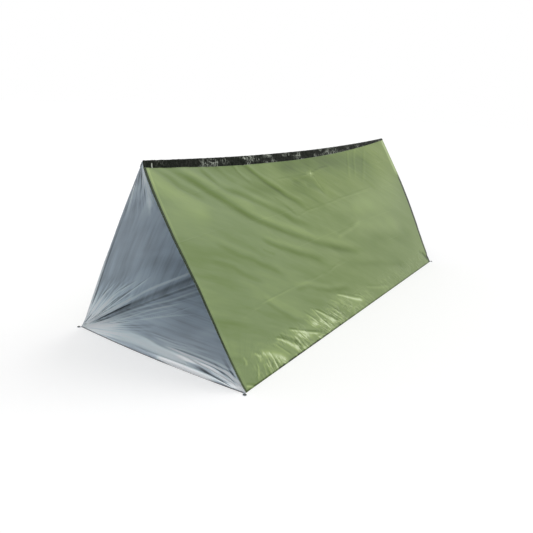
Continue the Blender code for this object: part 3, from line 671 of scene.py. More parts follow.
class Web:
    """The nodes of a tree."""

    def __init__(self, tree):
        self.tree = tree

    def plug(self, socket, value):
        """Link a varying value, or set a plain one."""
        if isinstance(value, Number):
            self.tree.links.new(value.socket, socket)
        elif socket.type == "RGBA" and len(value) == 3:
            socket.default_value = (*value, 1.0)
        else:
            socket.default_value = value

    def add(self, kind, settings=None, inputs=None, output=0):
        """Add any node: its settings first, then the values or links of its sockets."""
        node = self.tree.nodes.new("ShaderNode" + kind)
        for key, value in (settings or {}).items():
            setattr(node, key, value)
        for key, value in (inputs or {}).items():
            self.plug(node.inputs[key], value)
        return Number(self, node.outputs[output]) if len(node.outputs) else None

    def math(self, operation, *values, clamp=False):
        """A Math node."""
        return self.add("Math", {"operation": operation, "use_clamp": clamp}, dict(enumerate(values)))

    def place(self):
        """The piece's own two coordinates, in metres."""
        vector = self.add("UVMap", {"uv_map": "place"})
        return self.add("SeparateXYZ", None, {0: vector}, 0), self.add("SeparateXYZ", None, {0: vector}, 1)

    def tone(self):
        """How light the piece's folds are painted at a place: painted highlight above zero, painted shade below."""
        return self.add("Attribute", {"attribute_name": "tone"}, None, 2)

    def pair(self, u, v):
        """Two numbers as a vector."""
        return self.add("CombineXYZ", None, {0: u, 1: v})

    def noise(self, u, v, detail=2.0, rough=0.5):
        """Cloudy noise about 0.5 of two numbers."""
        return self.add("TexNoise", {"noise_dimensions": "2D"},
                        {"Vector": self.pair(u, v), "Scale": 1.0, "Detail": detail, "Roughness": rough})

    def cells(self, u, v):
        """Distance from the nearest point of a random cell pattern of two numbers."""
        return self.add("TexVoronoi", {"voronoi_dimensions": "2D"}, {"Vector": self.pair(u, v), "Scale": 1.0})

    def ease(self, value, low, high):
        """Ease from 0 at low to 1 at high."""
        return self.add("MapRange", {"interpolation_type": "SMOOTHSTEP"}, {0: value, 1: low, 2: high})

    def mix(self, share, first, second):
        """A colour between two."""
        return self.add("Mix", {"data_type": "RGBA"}, {0: share, 6: first, 7: second}, 2)

    def bump(self, height):
        """The normal of a surface raised by a height in metres."""
        return self.add("Bump", None, {"Height": height, "Distance": 1.0, "Strength": 1.0})

    def seen(self):
        """1 to the camera, in reflections and through glass, and 0 to other light."""
        camera, glossy, through = (self.add("LightPath", None, None, f"Is {kind} Ray")
                                   for kind in ("Camera", "Glossy", "Transmission"))
        return self.math("MINIMUM", camera + glossy + through, 1.0)


class Finish(Web):
    """A material's nodes, round its Principled shader."""

    def __init__(self, name, **settings):
        self.material = bpy.data.materials.new(name)
        self.material.use_nodes = True
        super().__init__(self.material.node_tree)
        self.shader = self.tree.nodes["Principled BSDF"]
        self.wear(**settings)

    def wear(self, **inputs):
        """Set or link the shader's inputs, with spaces in their names written as underscores."""
        for key, value in inputs.items():
            self.plug(self.shader.inputs[key.replace("_", " ")], value)


def shade(colour, factor):
    """A colour made darker or lighter by a factor."""
    return tuple(min(channel * factor, 1.0) for channel in colour)


def toned(colour, *factors):
    """A colour with each channel changed by its own factor."""
    return tuple(min(channel * factor, 1.0) for channel, factor in zip(colour, factors))


ROW_SPACING, COLUMN_SPACING = 0.18, 0.31   # of the creases left by packing
CREASE_WIDTH = 0.0035
# The next one places a painted highlight, a pale line on the green side
HEM_HIGHLIGHT_GAP = 0.0310        # a pale line on the green side is this far from the mouth
AT_HEM_FOLD = 0.0200       # and the dark line of the hem's fold on the silver side this far


def packing_creases(web, along, up):
    """Height of the creases left by packing, and where each of their two combs of lines is.

    One comb is spaced up the piece and the other along it. Each line is a ridge or a valley with
    straight sides, 1 - distance / width, that comes and goes along its length.
    """
    wander = web.noise(along * 1.1, up * 2.0, 1.0) * 0.03
    rows = web.math("PINGPONG", up + wander + 0.055, ROW_SPACING / 2)
    row_line = web.math("MAXIMUM", 1 - rows / CREASE_WIDTH, 0.0)
    row_share = web.noise(along * 1.9, up * 5.0 + 3.1, 1.0) - 0.5
    columns = web.math("PINGPONG", along + wander * 1.5 + 0.02, COLUMN_SPACING / 2)
    column_line = web.math("MAXIMUM", 1 - columns / CREASE_WIDTH, 0.0)
    column_share = web.noise(along * 3.3 + 9.0, up * 2.3, 1.0) - 0.5
    return row_line * row_share * 0.0022 + column_line * column_share * 0.0012, row_line, column_line


def paint_light_by_tone(web, tone, dark, plain, light, white):
    """A colour by tone: painted shade at -3, plain at 0, painted highlight at 1.5, white at 3.5, straight between.
    """
    base = web.mix(web.math("MULTIPLY", tone, -1 / 3, clamp=True), plain, dark)
    base = web.mix(web.math("MULTIPLY", tone, 1 / 1.5, clamp=True), base, light)
    return web.mix(web.math("MULTIPLY", tone - 1.5, 1 / 2.0, clamp=True), base, white)


def corner_fan(web, along, up, corner, spokes, seed):
    """Fine pleats that run out of a corner: noise of the angle round it. Returns them with the distance."""
    du = abs(along - corner[0])
    dv = abs(up - corner[1])
    distance = web.math("SQRT", du * du + dv * dv + 1e-6)
    pleats = web.noise(web.math("ARCTAN2", dv, du) * spokes + seed, distance * 1.6 + seed * 0.37, 3.0, 0.6) - 0.5
    return pleats, distance


def crumpled_foot(web, along, up):
    """The crumpled strip along a wall's base, strongest towards the front: its share, height and painted tone.

    Coarse and fine streaks slant with the pull of the film, and warped cells make facets between them.
    Its painted tone holds painted glints on the streaks and facets, painted shade between them, and a
    paler foot all along.
    """
    foot = 1 - web.ease(up, 0.05, 0.165)
    where = web.ease(along, 0.06, 0.22) * (1 - web.ease(along, 0.85, 1.30) * 0.75)
    patches = web.ease(web.noise(along * 7.0 + 1.7, up * 9.0, 2.0), 0.36, 0.54)
    crumpled = foot * where * patches
    turned = along + up * web.ease(along, 0.15, 0.70) * 1.1
    streaks = web.noise(turned * 62.0, up * 9.0 + along * 3.0, 3.0, 0.6)
    fine_streaks = web.noise(turned * 150.0 + 3.0, up * 22.0, 2.0, 0.6)
    warp = web.noise(along * 24.0, up * 28.0, 2.0) * 1.4
    facets = web.cells(turned * 40.0 + warp, up * 30.0 + warp)
    height = streaks * crumpled * 0.0040 + fine_streaks * crumpled * 0.0010 + facets * crumpled * 0.0035
    glints = (web.ease(streaks, 0.50, 0.66) * 1.6 + web.ease(fine_streaks, 0.52, 0.66) * 1.0
              - web.ease(streaks, 0.46, 0.32) * 0.9 + web.ease(facets, 0.45, 0.75) * 1.3
              - web.ease(facets, 0.30, 0.10) * 0.8)
    return crumpled, height, crumpled * glints + foot * where * 0.30


def edge_lines(web, sizes, along, up):
    """Tone of a wall's edges: painted highlight beside each hem, painted shade at the base, a rear strip pale high
    up.
    """
    at_mouth = web.math("MINIMUM", along, sizes.length - along)
    # A painted highlight: a pale line beside each hem, stronger high up
    hem_highlight = 1 - web.ease(abs(at_mouth - HEM_HIGHLIGHT_GAP), 0.0015, 0.0060)
    hem_highlight = hem_highlight * (0.15 + web.ease(up, 0.55, 0.85) * 0.55)
    high = web.ease(up, 0.66, 0.74)
    rear_strip = 1 - web.ease(sizes.length - along - high * 0.014, 0.033, 0.039)
    # Painted shade along the base where the wall meets the ground, stronger in a middle stretch
    base_shade_middle = web.ease(along, 0.18, 0.30) * (1 - web.ease(along, 0.75, 0.95))
    under = (1 - web.ease(up, 0.0030, 0.0095)) * (0.80 + base_shade_middle * 0.4)
    return hem_highlight * 1.2 + rear_strip * (high * 4.4 - 2.6) - under * 2.8


def green_film(colours, sizes, name="green_film"):
    """Outside of the film: glossy olive plastic with drape wrinkles, packing creases and a crumpled foot."""
    web = Finish(name, Specular_IOR_Level=0.26)
    along, up = web.place()
    creases, row_line, column_line = packing_creases(web, along, up)
    crumpled, foot_height, foot_painted_glints = crumpled_foot(web, along, up)
    slant = up * 0.86 + along * 0.50
    lengthwise = along * 0.86 - up * 0.50
    wrinkles = web.noise(lengthwise * 2.2, slant * 13.0, 3.0, 0.55) - 0.5
    ripples = web.noise(lengthwise * 5.0 + 4.0, slant * 40.0, 2.0, 0.5) - 0.5
    some = web.ease(web.noise(along * 1.3 + 5.0, up * 1.6 + 2.0, 1.0), 0.42, 0.68)
    # Pleats out of the corners
    fans = 0.0
    for number, corner in enumerate((end, edge) for edge in (0.0, sizes.wall_slope) for end in (0.0, sizes.length)):
        pleats, distance = corner_fan(web, along, up, corner, 14.0, 3.0 + number * 5.0)
        fans = pleats * distance * (1 - web.ease(distance, 0.02, 0.34)) + fans
    height = (creases + wrinkles * (0.0016 + some * 0.0016) + ripples * some * 0.0005 + foot_height
              + fans * 0.014)
    cloudy = web.noise(along * 2.2, up * 3.0, 3.0, 0.55)
    front_half = 1 - web.ease(along, 1.10, 1.70) * 0.55
    # The tone paints shade and highlight: the folds' from the attribute, the wrinkles', ripples' and corner
    # pleats', the edges' lines and the foot's glints; it also varies at random, pales on the packing creases and
    # darkens towards the rear
    tone = (web.tone() + wrinkles * front_half * 1.7 + ripples * some * 0.8 + fans * 6.0 + (cloudy - 0.5) * 0.8
            + (row_line + column_line * 0.5) * web.ease(cloudy, 0.45, 0.62) * 0.30
            + edge_lines(web, sizes, along, up) + foot_painted_glints - web.ease(along, 0.60, 1.20) * 0.22)
    # Yellower green to the front and low down, bluer to the rear and top, and deeper in the painted shade of a fold
    warm = web.ease(along, 0.25, 1.30) * (web.ease(up, 0.50, 0.90) * 0.55 + 0.45)
    plain = web.mix(warm, toned(colours.green, 0.98, 0.98, 1.16), toned(colours.green, 1.0, 1.0, 0.76))
    plain = web.mix(web.math("MULTIPLY", tone, -0.8, clamp=True), plain, toned(colours.green, 0.98, 1.09, 0.72))
    base = paint_light_by_tone(web, tone, shade(colours.green, 0.02), plain, toned(colours.green, 1.50, 1.44, 1.55),
               toned(colours.green, 3.0, 2.6, 4.3))
    gloss = 0.36 + (cloudy - 0.5) * 0.12 - crumpled * 0.12
    web.wear(Base_Color=base, Roughness=gloss, Normal=web.bump(height))
    return web.material


def silver_film(colours, sizes, name, width, at_hems):
    """Inside of the film: aluminised, satin, with fine pleats out of each corner. Its colour holds painted
    reflections: light and dark streaks by tone, and painted light near each corner.

    width is the piece's size across. at_hems draws the dark line where a hem's fold meets the film.
    """
    web = Finish(name)
    along, up = web.place()
    creases = packing_creases(web, along, up)[0]
    fans, sharp, near = 0.0, 0.0, 0.0
    # Painted reflections out of each corner: pleats, sharp streaks, and painted light near it
    for number, corner in enumerate((end, edge) for end in (0.0, sizes.length) for edge in (0.0, width)):
        pleats, distance = corner_fan(web, along, up, corner, 17.0, 1.3 + number * 4.1)
        reach = 1 - web.ease(distance, 0.05, 0.38)
        fans = pleats * reach + fans
        sharp = (web.ease(pleats, 0.01, 0.09) * 1.5 - web.ease(pleats, -0.01, -0.10) * 1.0) * reach + sharp
        near = (1 - web.ease(distance, 0.03, 0.26)) + near
    soft = web.noise(along * 2.6, up * 4.0, 3.0, 0.5)
    reflection_streaks = web.noise(along * 9.0, up * 2.2 + along * 3.0, 3.0, 0.6)
    fine_reflection_streaks = web.noise(along * 38.0, up * 2.6 + along * 2.0, 2.0, 0.5)
    grain = web.noise(along * 18.0, up * 23.0, 2.0)
    height = creases * 0.6 + fans * 0.0024 + (soft - 0.5) * 0.005 + (grain - 0.5) * 0.0004
    # The tone paints reflections: the pleats from the attribute and the corners, painted light near them, and broad
    # and long streaks of light and dark
    tone = (web.tone() + fans * 2.6 + sharp * (1.3 + near * 1.6) + near * 1.2 + (soft - 0.5) * 1.3
            + (reflection_streaks - 0.5) * 1.2 + (fine_reflection_streaks - 0.5) * 1.3 - 0.12)
    if at_hems:
        at_mouth = web.math("MINIMUM", along, sizes.length - along)
        line = 1 - web.ease(abs(at_mouth - AT_HEM_FOLD), 0.0028, 0.0055)
        tone = tone - line * (1.3 - web.ease(up, 0.45, 0.70) * 0.9)
    base = paint_light_by_tone(web, tone, shade(colours.silver, 0.04), colours.silver, toned(colours.silver, 1.25, 1.25, 1.28),
               (0.98, 0.99, 1.0))
    # The brightest painted highlights turn white and less metallic
    highlight_share = web.math("MULTIPLY", tone, 0.30, clamp=True)
    web.wear(Base_Color=base, Metallic=0.52 - highlight_share * 0.50, Roughness=0.34 - highlight_share * 0.06,
             Normal=web.bump(height))
    return web.material


def hem_outside(colours, name, pale_top):
    """A mouth's folded edge from outside: dark, with spots of green.

    It pales near the ground, and towards the ridge as far as pale_top says. Its second coordinate is the
    distance from the lip, in metres.
    """
    web = Finish(name, Roughness=0.40, Specular_IOR_Level=0.18)
    up, across = web.place()
    pinch = web.noise(up * 90.0, across * 60.0, 2.0)
    spots = web.ease(web.noise(up * 45.0, across * 90.0, 2.0), 0.58, 0.68)
    pale = (spots * (0.04 + pale_top * 0.5) + web.ease(up, 0.60, 0.78) * pale_top
            + (1 - web.ease(up, 0.03, 0.25)) * 0.14)
    base = web.mix(web.math("MINIMUM", pale, 1.0), colours.hem, toned(colours.green, 1.7, 1.6, 1.9))
    web.wear(Base_Color=base, Normal=web.bump((pinch - 0.5) * 0.0006))
    return web.material


def hem_inside(colours):
    """A mouth's folded edge from inside: silver with painted reflections, white low on the wall and slate above."""
    web = Finish("hem_inside", Metallic=0.10, Roughness=0.34)
    up, across = web.place()
    crumple = web.noise(up * 60.0, across * 90.0, 2.0)
    high = web.ease(up, 0.30, 0.62)
    line = 1 - web.ease(abs(across - 0.0020), 0.0004, 0.0010)
    # Painted reflection: light silver mottled with white low down, slate high up
    base = web.mix(web.ease(crumple, 0.35, 0.65), shade(colours.silver, 1.30), (0.98, 0.98, 0.99))
    base = web.mix(high, base, shade(colours.silver, 0.62))
    base = web.mix(line * 0.35, base, shade(colours.silver, 0.3))
    web.wear(Base_Color=base, Normal=web.bump((crumple - 0.5) * 0.0008))
    return web.material


def hem_ground(colours):
    """The floor's folded edge: lavender grey over a brown lip, with a painted white reflection towards the right.
    """
    web = Finish("hem_ground", Metallic=0.3, Roughness=0.36)
    across, lip = web.place()
    crumple = web.noise(across * 60.0, lip * 90.0, 2.0)
    # A painted white reflection on part of the hem towards the right
    white = web.ease(across, 0.56, 0.62) * (1 - web.ease(across, 0.80, 0.86)) * web.ease(lip, 0.0002, 0.0010)
    base = web.mix(web.ease(crumple, 0.35, 0.65), toned(colours.silver, 0.62, 0.60, 0.66),
                   toned(colours.silver, 0.86, 0.84, 0.88))
    base = web.mix(1 - web.ease(lip, 0.0016, 0.0034), base, (0.070, 0.066, 0.050))
    base = web.mix(white, base, (0.97, 0.97, 0.98))
    web.wear(Base_Color=base, Normal=web.bump((crumple - 0.5) * 0.0008))
    return web.material


def band_film(colours):
    """The ridge band: black film with a low gloss, crumpled in places, with painted grey highlights on creases
    there.
    """
    web = Finish("band_film", Specular_IOR_Level=0.02)
    along, across = web.place()
    warp = web.noise(along * 26.0, across * 30.0, 2.0) * 1.4
    facets = web.cells(along * 34.0 + warp, across * 60.0 + warp)
    fine = web.noise(along * 190.0 + across * 60.0 + warp, across * 45.0 - warp, 3.0, 0.6)
    middle = web.ease(along, 0.18, 0.50) * (1 - web.ease(along, 1.30, 1.80) * 0.7)
    patches = web.ease(web.noise(along * 8.0, across * 16.0, 2.0), 0.46, 0.60) * (0.15 + middle * 0.85)
    height = facets * 0.005 * (0.25 + patches * 0.75) + fine * 0.0009
    # Painted grey highlights on the creases, mostly in the crumpled patches
    wear_and_painted_highlight = web.ease(facets, 0.54, 0.78) * patches * 0.7 + web.ease(fine, 0.50, 0.63) * (0.06 + patches * 0.85)
    # A painted highlight streak near the front, on the right side
    painted_streak = (1 - web.ease(abs(along - 0.052), 0.0016, 0.0040)) * web.ease(across, 0.508, 0.514) * 0.9
    base = web.mix(web.math("MINIMUM", wear_and_painted_highlight * 0.8 + painted_streak, 1.0), colours.band, (0.40, 0.43, 0.37))
    # A painted pale green highlight along the band's edges, from its tone
    base = web.mix(web.ease(web.tone(), 0.45, 0.95), base, toned(colours.green, 1.7, 1.6, 2.4))
    web.wear(Base_Color=base, Roughness=0.36 + patches * 0.06, Normal=web.bump(height))
    return web.material


def eyelet_finish(colours):
    """Black enamelled eyelets, a little rubbed on their rims."""
    web = Finish("eyelet_enamel")
    place = web.add("TexCoord", None, None, 3)
    grain = web.add("TexNoise", None, {"Vector": place, "Scale": 900.0, "Detail": 3.0})
    wear_and_painted_highlight = web.ease(grain, 0.60, 0.72)
    base = web.mix(wear_and_painted_highlight * 0.5, colours.eyelet, shade(colours.eyelet, 8.0))
    web.wear(Base_Color=base, Roughness=0.28 + grain * 0.12, Normal=web.bump((grain - 0.5) * 0.00008))
    return web.material


def ear_finish(colours):
    """The corner ears' welded film, silvery like the floor and dimpled by the weld."""
    web = Finish("ear_film", Specular_IOR_Level=0.35)
    place = web.add("TexCoord", None, None, 3)
    weld = web.add("TexVoronoi", None, {"Vector": place, "Scale": 900.0})
    cloudy = web.add("TexNoise", None, {"Vector": place, "Scale": 160.0, "Detail": 3.0})
    base = web.mix(web.ease(cloudy, 0.35, 0.65), shade(colours.silver, 0.55), shade(colours.silver, 1.1))
    web.wear(Base_Color=base, Roughness=0.36, Normal=web.bump(weld * 0.00025))
    return web.material


# Pieces

def film_stations(form):
    """Sections of the walls' film, closer at the front, ending inside the mouths' hems."""
    end = form.wall_end - form.hem_width / 2
    return uneven([(-end, -0.35, 0.0058), (-0.35, 0.20, 0.0076), (0.20, end, 0.0116)])


def wall_rows(form, side):
    """Rows up a wall: distances as far as the knee's zone, then shares of the way from it to the ridge."""
    foot = GAP / 2 if side > 0 else GAP / 2 + LEFT_FOOT
    low = uneven([(foot, 0.150, 0.0037), (0.150, form.knee - REST_HALF_ZONE, 0.0066),
                  (form.knee - REST_HALF_ZONE, form.knee + REST_HALF_ZONE, 0.0014)])
    return low, np.linspace(0, 1, 91)[1:]


def wall_grid(form, side, stations):
    """Place grids of a wall: y and the distance up, rows from the base to the ridge."""
    low, high = wall_rows(form, side)
    start = low[-1]
    up = np.concatenate([np.repeat(low[:, None], len(stations), 1),
                         start + high[:, None] * (form.top(stations)[None] - UNDER_BAND - start)])
    return np.broadcast_to(stations[None], up.shape), up


class TUBETENT_OT_wall_films(bpy.types.Operator):
    """Make the two walls: each one sheet of film from the base crease to the ridge"""

    bl_idname = "tubetent.wall_films"
    bl_label = "Wall films"

    def execute(self, context):
        form = shape()
        colours = context.scene.tube_tent_colours
        green = green_film(colours, form.sizes)
        silver = silver_film(colours, form.sizes, "silver_film", form.slope, True)
        skin = SKIN * form.film
        for side, side_name in ((1, "right"), (-1, "left")):
            y, up = wall_grid(form, side, film_stations(form))
            offset = form.silver_offset(side, y, up)
            inner = form.wall(side, y, up, offset + skin)
            outer = form.wall(side, y, up, offset + form.film - skin)
            along = y + form.length / 2
            # The green side's tone is painted shade and highlight of its folds; the silver side's is painted
            # reflection of the pleats at both mouths, less a share of the green's
            green_tone = pleated(FOLDS[side], along, up)[0]
            silver_tone = (pleated(PLEATS, along, up)[0] + pleated(PLEATS, form.length - along, up)[0]
                           - 0.15 * green_tone)
            made = closed_sheet(f"film_{side_name}", inner, outer, np.stack([along, up], axis=-1), silver, green,
                                (silver_tone, green_tone))
            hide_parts(f"{side_name}_wall_lower", f"{side_name}_wall_upper")
            knee_blend(form, made, side)
            2 * form.film_end
        return {"FINISHED"}


def knee_blend(form, made, side):
    """Bake a wall piece's placement into its points. The ends of its knee's zone are worked out but not used."""
    low, high = (form.wall(side, 0.0, form.knee + step, 0.0) for step in (-REST_HALF_ZONE, REST_HALF_ZONE))
    low, high = ((float(point[0]), 0.0, float(point[2])) for point in (low, high))
    if side > 0:
        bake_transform(made)
    else:
        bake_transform(made)


class TUBETENT_OT_floor_film(bpy.types.Operator):
    """Make the floor: film flat on the ground, with loose rolls along its front edge"""

    bl_idname = "tubetent.floor_film"
    bl_label = "Floor film"

    def execute(self, context):
        form = shape()
        colours = context.scene.tube_tent_colours
        silver = silver_film(colours, form.sizes, "silver_floor", 2 * form.half, False)
        under = green_film(colours, form.sizes, "green_underside")
        edge, end = form.half - GAP / 2, form.wall_end
        x = uneven([(-edge, -0.28, 0.0055), (-0.28, edge, 0.0085)])
        y = uneven([(-end, -end + 0.14, 0.0036), (-end + 0.14, -0.4, 0.0090), (-0.4, end - 0.14, 0.016),
                    (end - 0.14, end, 0.0060)])
        y, x = np.meshgrid(y, x)
        height = self.rolls(form, y, x) + self.rolls(form, -y, -x)
        placed = y + form.floor_forward(y, x)
        outer = np.stack([x, placed, np.clip(height - OFF_GROUND, 0.0, None) * 0.9], axis=-1)
        inner = np.stack([x, placed, form.film + height], axis=-1)
        along, across = y + form.length / 2, x + form.half
        # The silver's tone is painted reflection of the pleats at both mouths; the green underside has none
        tone = (pleated(FLOOR_PLEATS, across, along)[0]
                + pleated(FLOOR_PLEATS, 2 * form.half - across, form.length - along)[0])
        made = closed_sheet("film_floor", inner, outer, np.stack([along, across], axis=-1), silver, under,
                            (tone, np.zeros_like(tone)))
        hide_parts("floor_panel")
        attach(made, "floor")
        2 * form.wall_end
        return {"FINISHED"}

    @staticmethod
    def rolls(form, y, x):
        """Height above flat of the loose film near the front mouth.

        Each roll is a half-round ridge, exp(-(distance / width)^2) from its line, eased in along it. Low
        random hills lie between them. All of it dies out towards the base creases, where the feet slide.
        """
        along, across = y + form.length / 2, x + form.half
        height = np.zeros(x.shape)
        for roll in ROLLS:
            below, share = from_curve(in_metres(roll.line), across, along)
            eased = smooth(share / ROLL_START) * smooth((1 - share) / ROLL_END)
            height = height + roll.tall / 1000 * eased * np.exp(-(below / (roll.width / 1000)) ** 2)
        hills = value_noise(along * 5.0, across * 9.0, 5) * value_noise(along * 11.0 + 3, across * 17.0, 6)
        height = height + HILL * hills
        sides = smooth((across - 0.045) / 0.10) * smooth((2 * form.half - across - 0.002) / 0.05)
        ends = smooth((along - form.hem_width) / 0.006) * smooth((form.length - form.hem_width - along) / 0.03)
        return height * sides * ends


class TUBETENT_OT_ridge_band(bpy.types.Operator):
    """Make the black band: one strip of crumpled film folded over the ridge"""

    bl_idname = "tubetent.ridge_band"
    bl_label = "Ridge band"

    def execute(self, context):
        form = shape()
        finish = band_film(context.scene.tube_tent_colours)
        y = uneven([(-form.wall_end, form.wall_end, 0.0055)])
        # Shares of the band's depth from its right edge to its left one, closest together over the ridge
        half = np.concatenate([np.linspace(1, 0.2, 12)[:-1], np.linspace(0.2, 0, 7)[:-1]])
        q = np.concatenate([half, [0.0], -half[::-1]])
        y, q = np.meshgrid(y, q)
        film_y = np.clip(y, -form.film_end, form.film_end)
        wobble = value_noise(y * 90.0 + 900, q * 0.5 + 2, 8) - 0.5
        reach = q * (form.band_depth(film_y) + BAND_WOBBLE * wobble)
        crumple = (value_noise(y * 85.0 + 700, q * 6.0 + 10, 31) * 0.0011
                   + value_noise(y * 190.0 + 900, q * 12.0 + 20, 32) * 0.0005) * smooth((1 - np.abs(q)) / 0.12)
        faces = [self.over_ridge(form, y, reach, form.film + GAP + lift + crumple) for lift in (0.0, BAND_FILM)]
        places = np.stack([y + form.length / 2, reach + 0.5], axis=-1)
        # The band's tone is a painted pale highlight along both its edges
        rim = smooth((np.abs(q) - 0.93) / 0.07)
        made = closed_sheet("ridge_band", *faces, places, finish, finish, (rim, rim))
        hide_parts("ridge_band_right", "ridge_band_left")
        high = form.crease_height + form.slope * form.sin
        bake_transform(made)
        2 * form.wall_end
        4 * form.wall_end * float(form.band_depth(film_y[0]).mean())
        return {"FINISHED"}

    @staticmethod
    def over_ridge(form, y, reach, lift):
        """Places on the band: down a wall by the reach, outside the film there by the lift.

        Over the crest x eases through zero, and the height gains a bell of the reach, so that the two
        sides meet without an edge.
        """
        film_y = np.clip(y, -form.film_end, form.film_end)
        top = form.top(film_y)
        up = top - np.abs(reach)
        on_right = reach >= 0
        offset = np.where(on_right, form.silver_offset(1, film_y, up), form.silver_offset(-1, film_y, up)) + lift
        x = form.half - up * form.cos + offset * form.sin
        z = form.crease_height + up * form.sin + offset * form.cos
        x = np.where(on_right, x, -x) * smooth(np.abs(reach) / (2 * CREST))
        z = z + np.exp(-(reach / CREST) ** 2) * (0.5 * lift + 0.1 * CREST)
        forward = np.where(on_right, form.forward(1, film_y, up), form.forward(-1, film_y, up))
        return np.stack([x, y + forward, z], axis=-1)


class TUBETENT_OT_mouth_hems(bpy.types.Operator):
    """Make the folded hems round both mouths, four up the walls and two across the floor"""

    bl_idname = "tubetent.mouth_hems"
    bl_label = "Mouth hems"

    def execute(self, context):
        form = shape()
        colours = context.scene.tube_tent_colours
        outsides = {-1: hem_outside(colours, "hem_outside_front", 0.0),
                    1: hem_outside(colours, "hem_outside_rear", 0.8)}
        inside = hem_inside(colours)
        ground = hem_ground(colours)
        for end, end_name in ((-1, "front"), (1, "rear")):
            for side, side_name in ((1, "right"), (-1, "left")):
                made = self.wall_hem(form, f"hem_{end_name}_{side_name}", side, end, [outsides[end], inside])
                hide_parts(f"{end_name}_hem_{side_name}_lower", f"{end_name}_hem_{side_name}_upper")
                knee_blend(form, made, side)
            made = self.floor_hem(form, f"hem_{end_name}_floor", end, ground)
            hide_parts(f"{end_name}_hem_floor")
            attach(made, "floor")
        return {"FINISHED"}

    @staticmethod
    def section():
        """Round a flattened fold: cosine across and sine through it, squared off by powers of 0.8 and 0.7."""
        angle = np.linspace(0, 2 * math.pi, HEM_AROUND, endpoint=False)
        across = np.sign(np.cos(angle)) * np.abs(np.cos(angle)) ** 0.8
        through = np.sign(np.sin(angle)) * np.abs(np.sin(angle)) ** 0.7
        return across, through

    def wall_hem(self, form, name, side, end, materials):
        """A hem up one wall's edge. Its section is carried from the base to the ridge, pinched as it goes."""
        low, high = wall_rows(form, side)
        edge = end * form.film_end
        top = float(form.top(np.array(edge)))
        up = np.concatenate([low, low[-1] + high * (top - low[-1])])[:, None]
        across, through = self.section()
        pinch = value_noise(up * 70.0, np.zeros_like(up) + side + 3, 40 + end) - 0.5
        # Between the knee and the band the hem stands off the film and is thicker
        free = smooth((up - form.knee - 0.01) / 0.03) * smooth((top - form.band_depth(np.array(edge)) - up) / 0.02)
        at_foot, above = HEM_SPREAD[end, side]
        spread = at_foot + (above - at_foot) * smooth((up - 0.30) / 0.30)
        half = form.hem_width / 2 * (1 + 0.10 * pinch + spread)
        thick = form.film / 2 + 2 * HEM_LOOSE * free * (1 + 0.6 * pinch)
        outwards = form.wall_end - (form.hem_width - half if side < 0 else half)
        y = end * (outwards + half * across)
        offset = form.silver_offset(side, np.full(up.shape, edge), up) + form.film / 2 + HEM_LOOSE * free
        rings = form.wall(side, y, np.broadcast_to(up, y.shape), offset + thick * through)
        lip = np.abs(end * form.wall_end - y)
        places = np.stack([np.broadcast_to(up, y.shape), lip], axis=-1)
        # The inner half of the section is silver, and on the left wall its edges too
        turned = (through + np.roll(through, -1)) < (0.9 if side < 0 else 0.0)
        return closed_tube(name, rings, places, materials, turned.astype(int))

    def floor_hem(self, form, name, end, finish):
        """A rolled hem across the floor's edge, a little pinched."""
        edge = form.half - GAP / 2
        x = uneven([(-edge, edge, 0.006)])[:, None]
        across, through = self.section()
        pinch = value_noise(x * 60.0 + 60, np.zeros_like(x) + 2, 50 + end) - 0.5
        half = form.hem_width / 2
        tall = 0.00125 * (1 + 0.10 * pinch)
        inside_ends = smooth((edge - np.abs(x)) / 0.05)
        y = end * (form.length / 2 - half + half * across * (1 + 0.08 * pinch * inside_ends))
        rings = np.stack(np.broadcast_arrays(x, y + form.floor_forward(y, x), tall + tall * through), axis=-1)
        lip = np.abs(end * form.length / 2 - y)
        places = np.stack([np.broadcast_to(form.half - end * x, y.shape), lip], axis=-1)
        return closed_tube(name, rings, places, [finish], np.zeros(HEM_AROUND))


class TUBETENT_OT_corner_fittings(bpy.types.Operator):
    """Finish the corner ears, eyelets and washers, which keep the frame's own shapes"""

    bl_idname = "tubetent.corner_fittings"
    bl_label = "Corner fittings"

    def execute(self, context):
        colours = context.scene.tube_tent_colours
        ear, enamel = ear_finish(colours), eyelet_finish(colours)
        for end in ("front", "rear"):
            for side in ("right", "left"):
                for kind, finish in (("ear", ear), ("eyelet", enamel), ("washer", enamel)):
                    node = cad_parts[f"{kind}_{end}_{side}"]
                    for slot in node.material_slots:
                        slot.material = finish
        return {"FINISHED"}


CAMERA_ANGLES = 32.6735, 17.7431, 3.0869           # degrees of turn, tilt and roll
CAMERA_AIM = np.array([0.1752, -0.5843, 0.3153])
CAMERA_DISTANCE = 2.7
CAMERA_FOCAL = 535.58 / 533.0                      # focal length as a share of the frame's width
STUDIO_HALF_SIZE = 30.0
STUDIO_LEVEL = -0.0004                             # the studio's floor lies just under the tent's


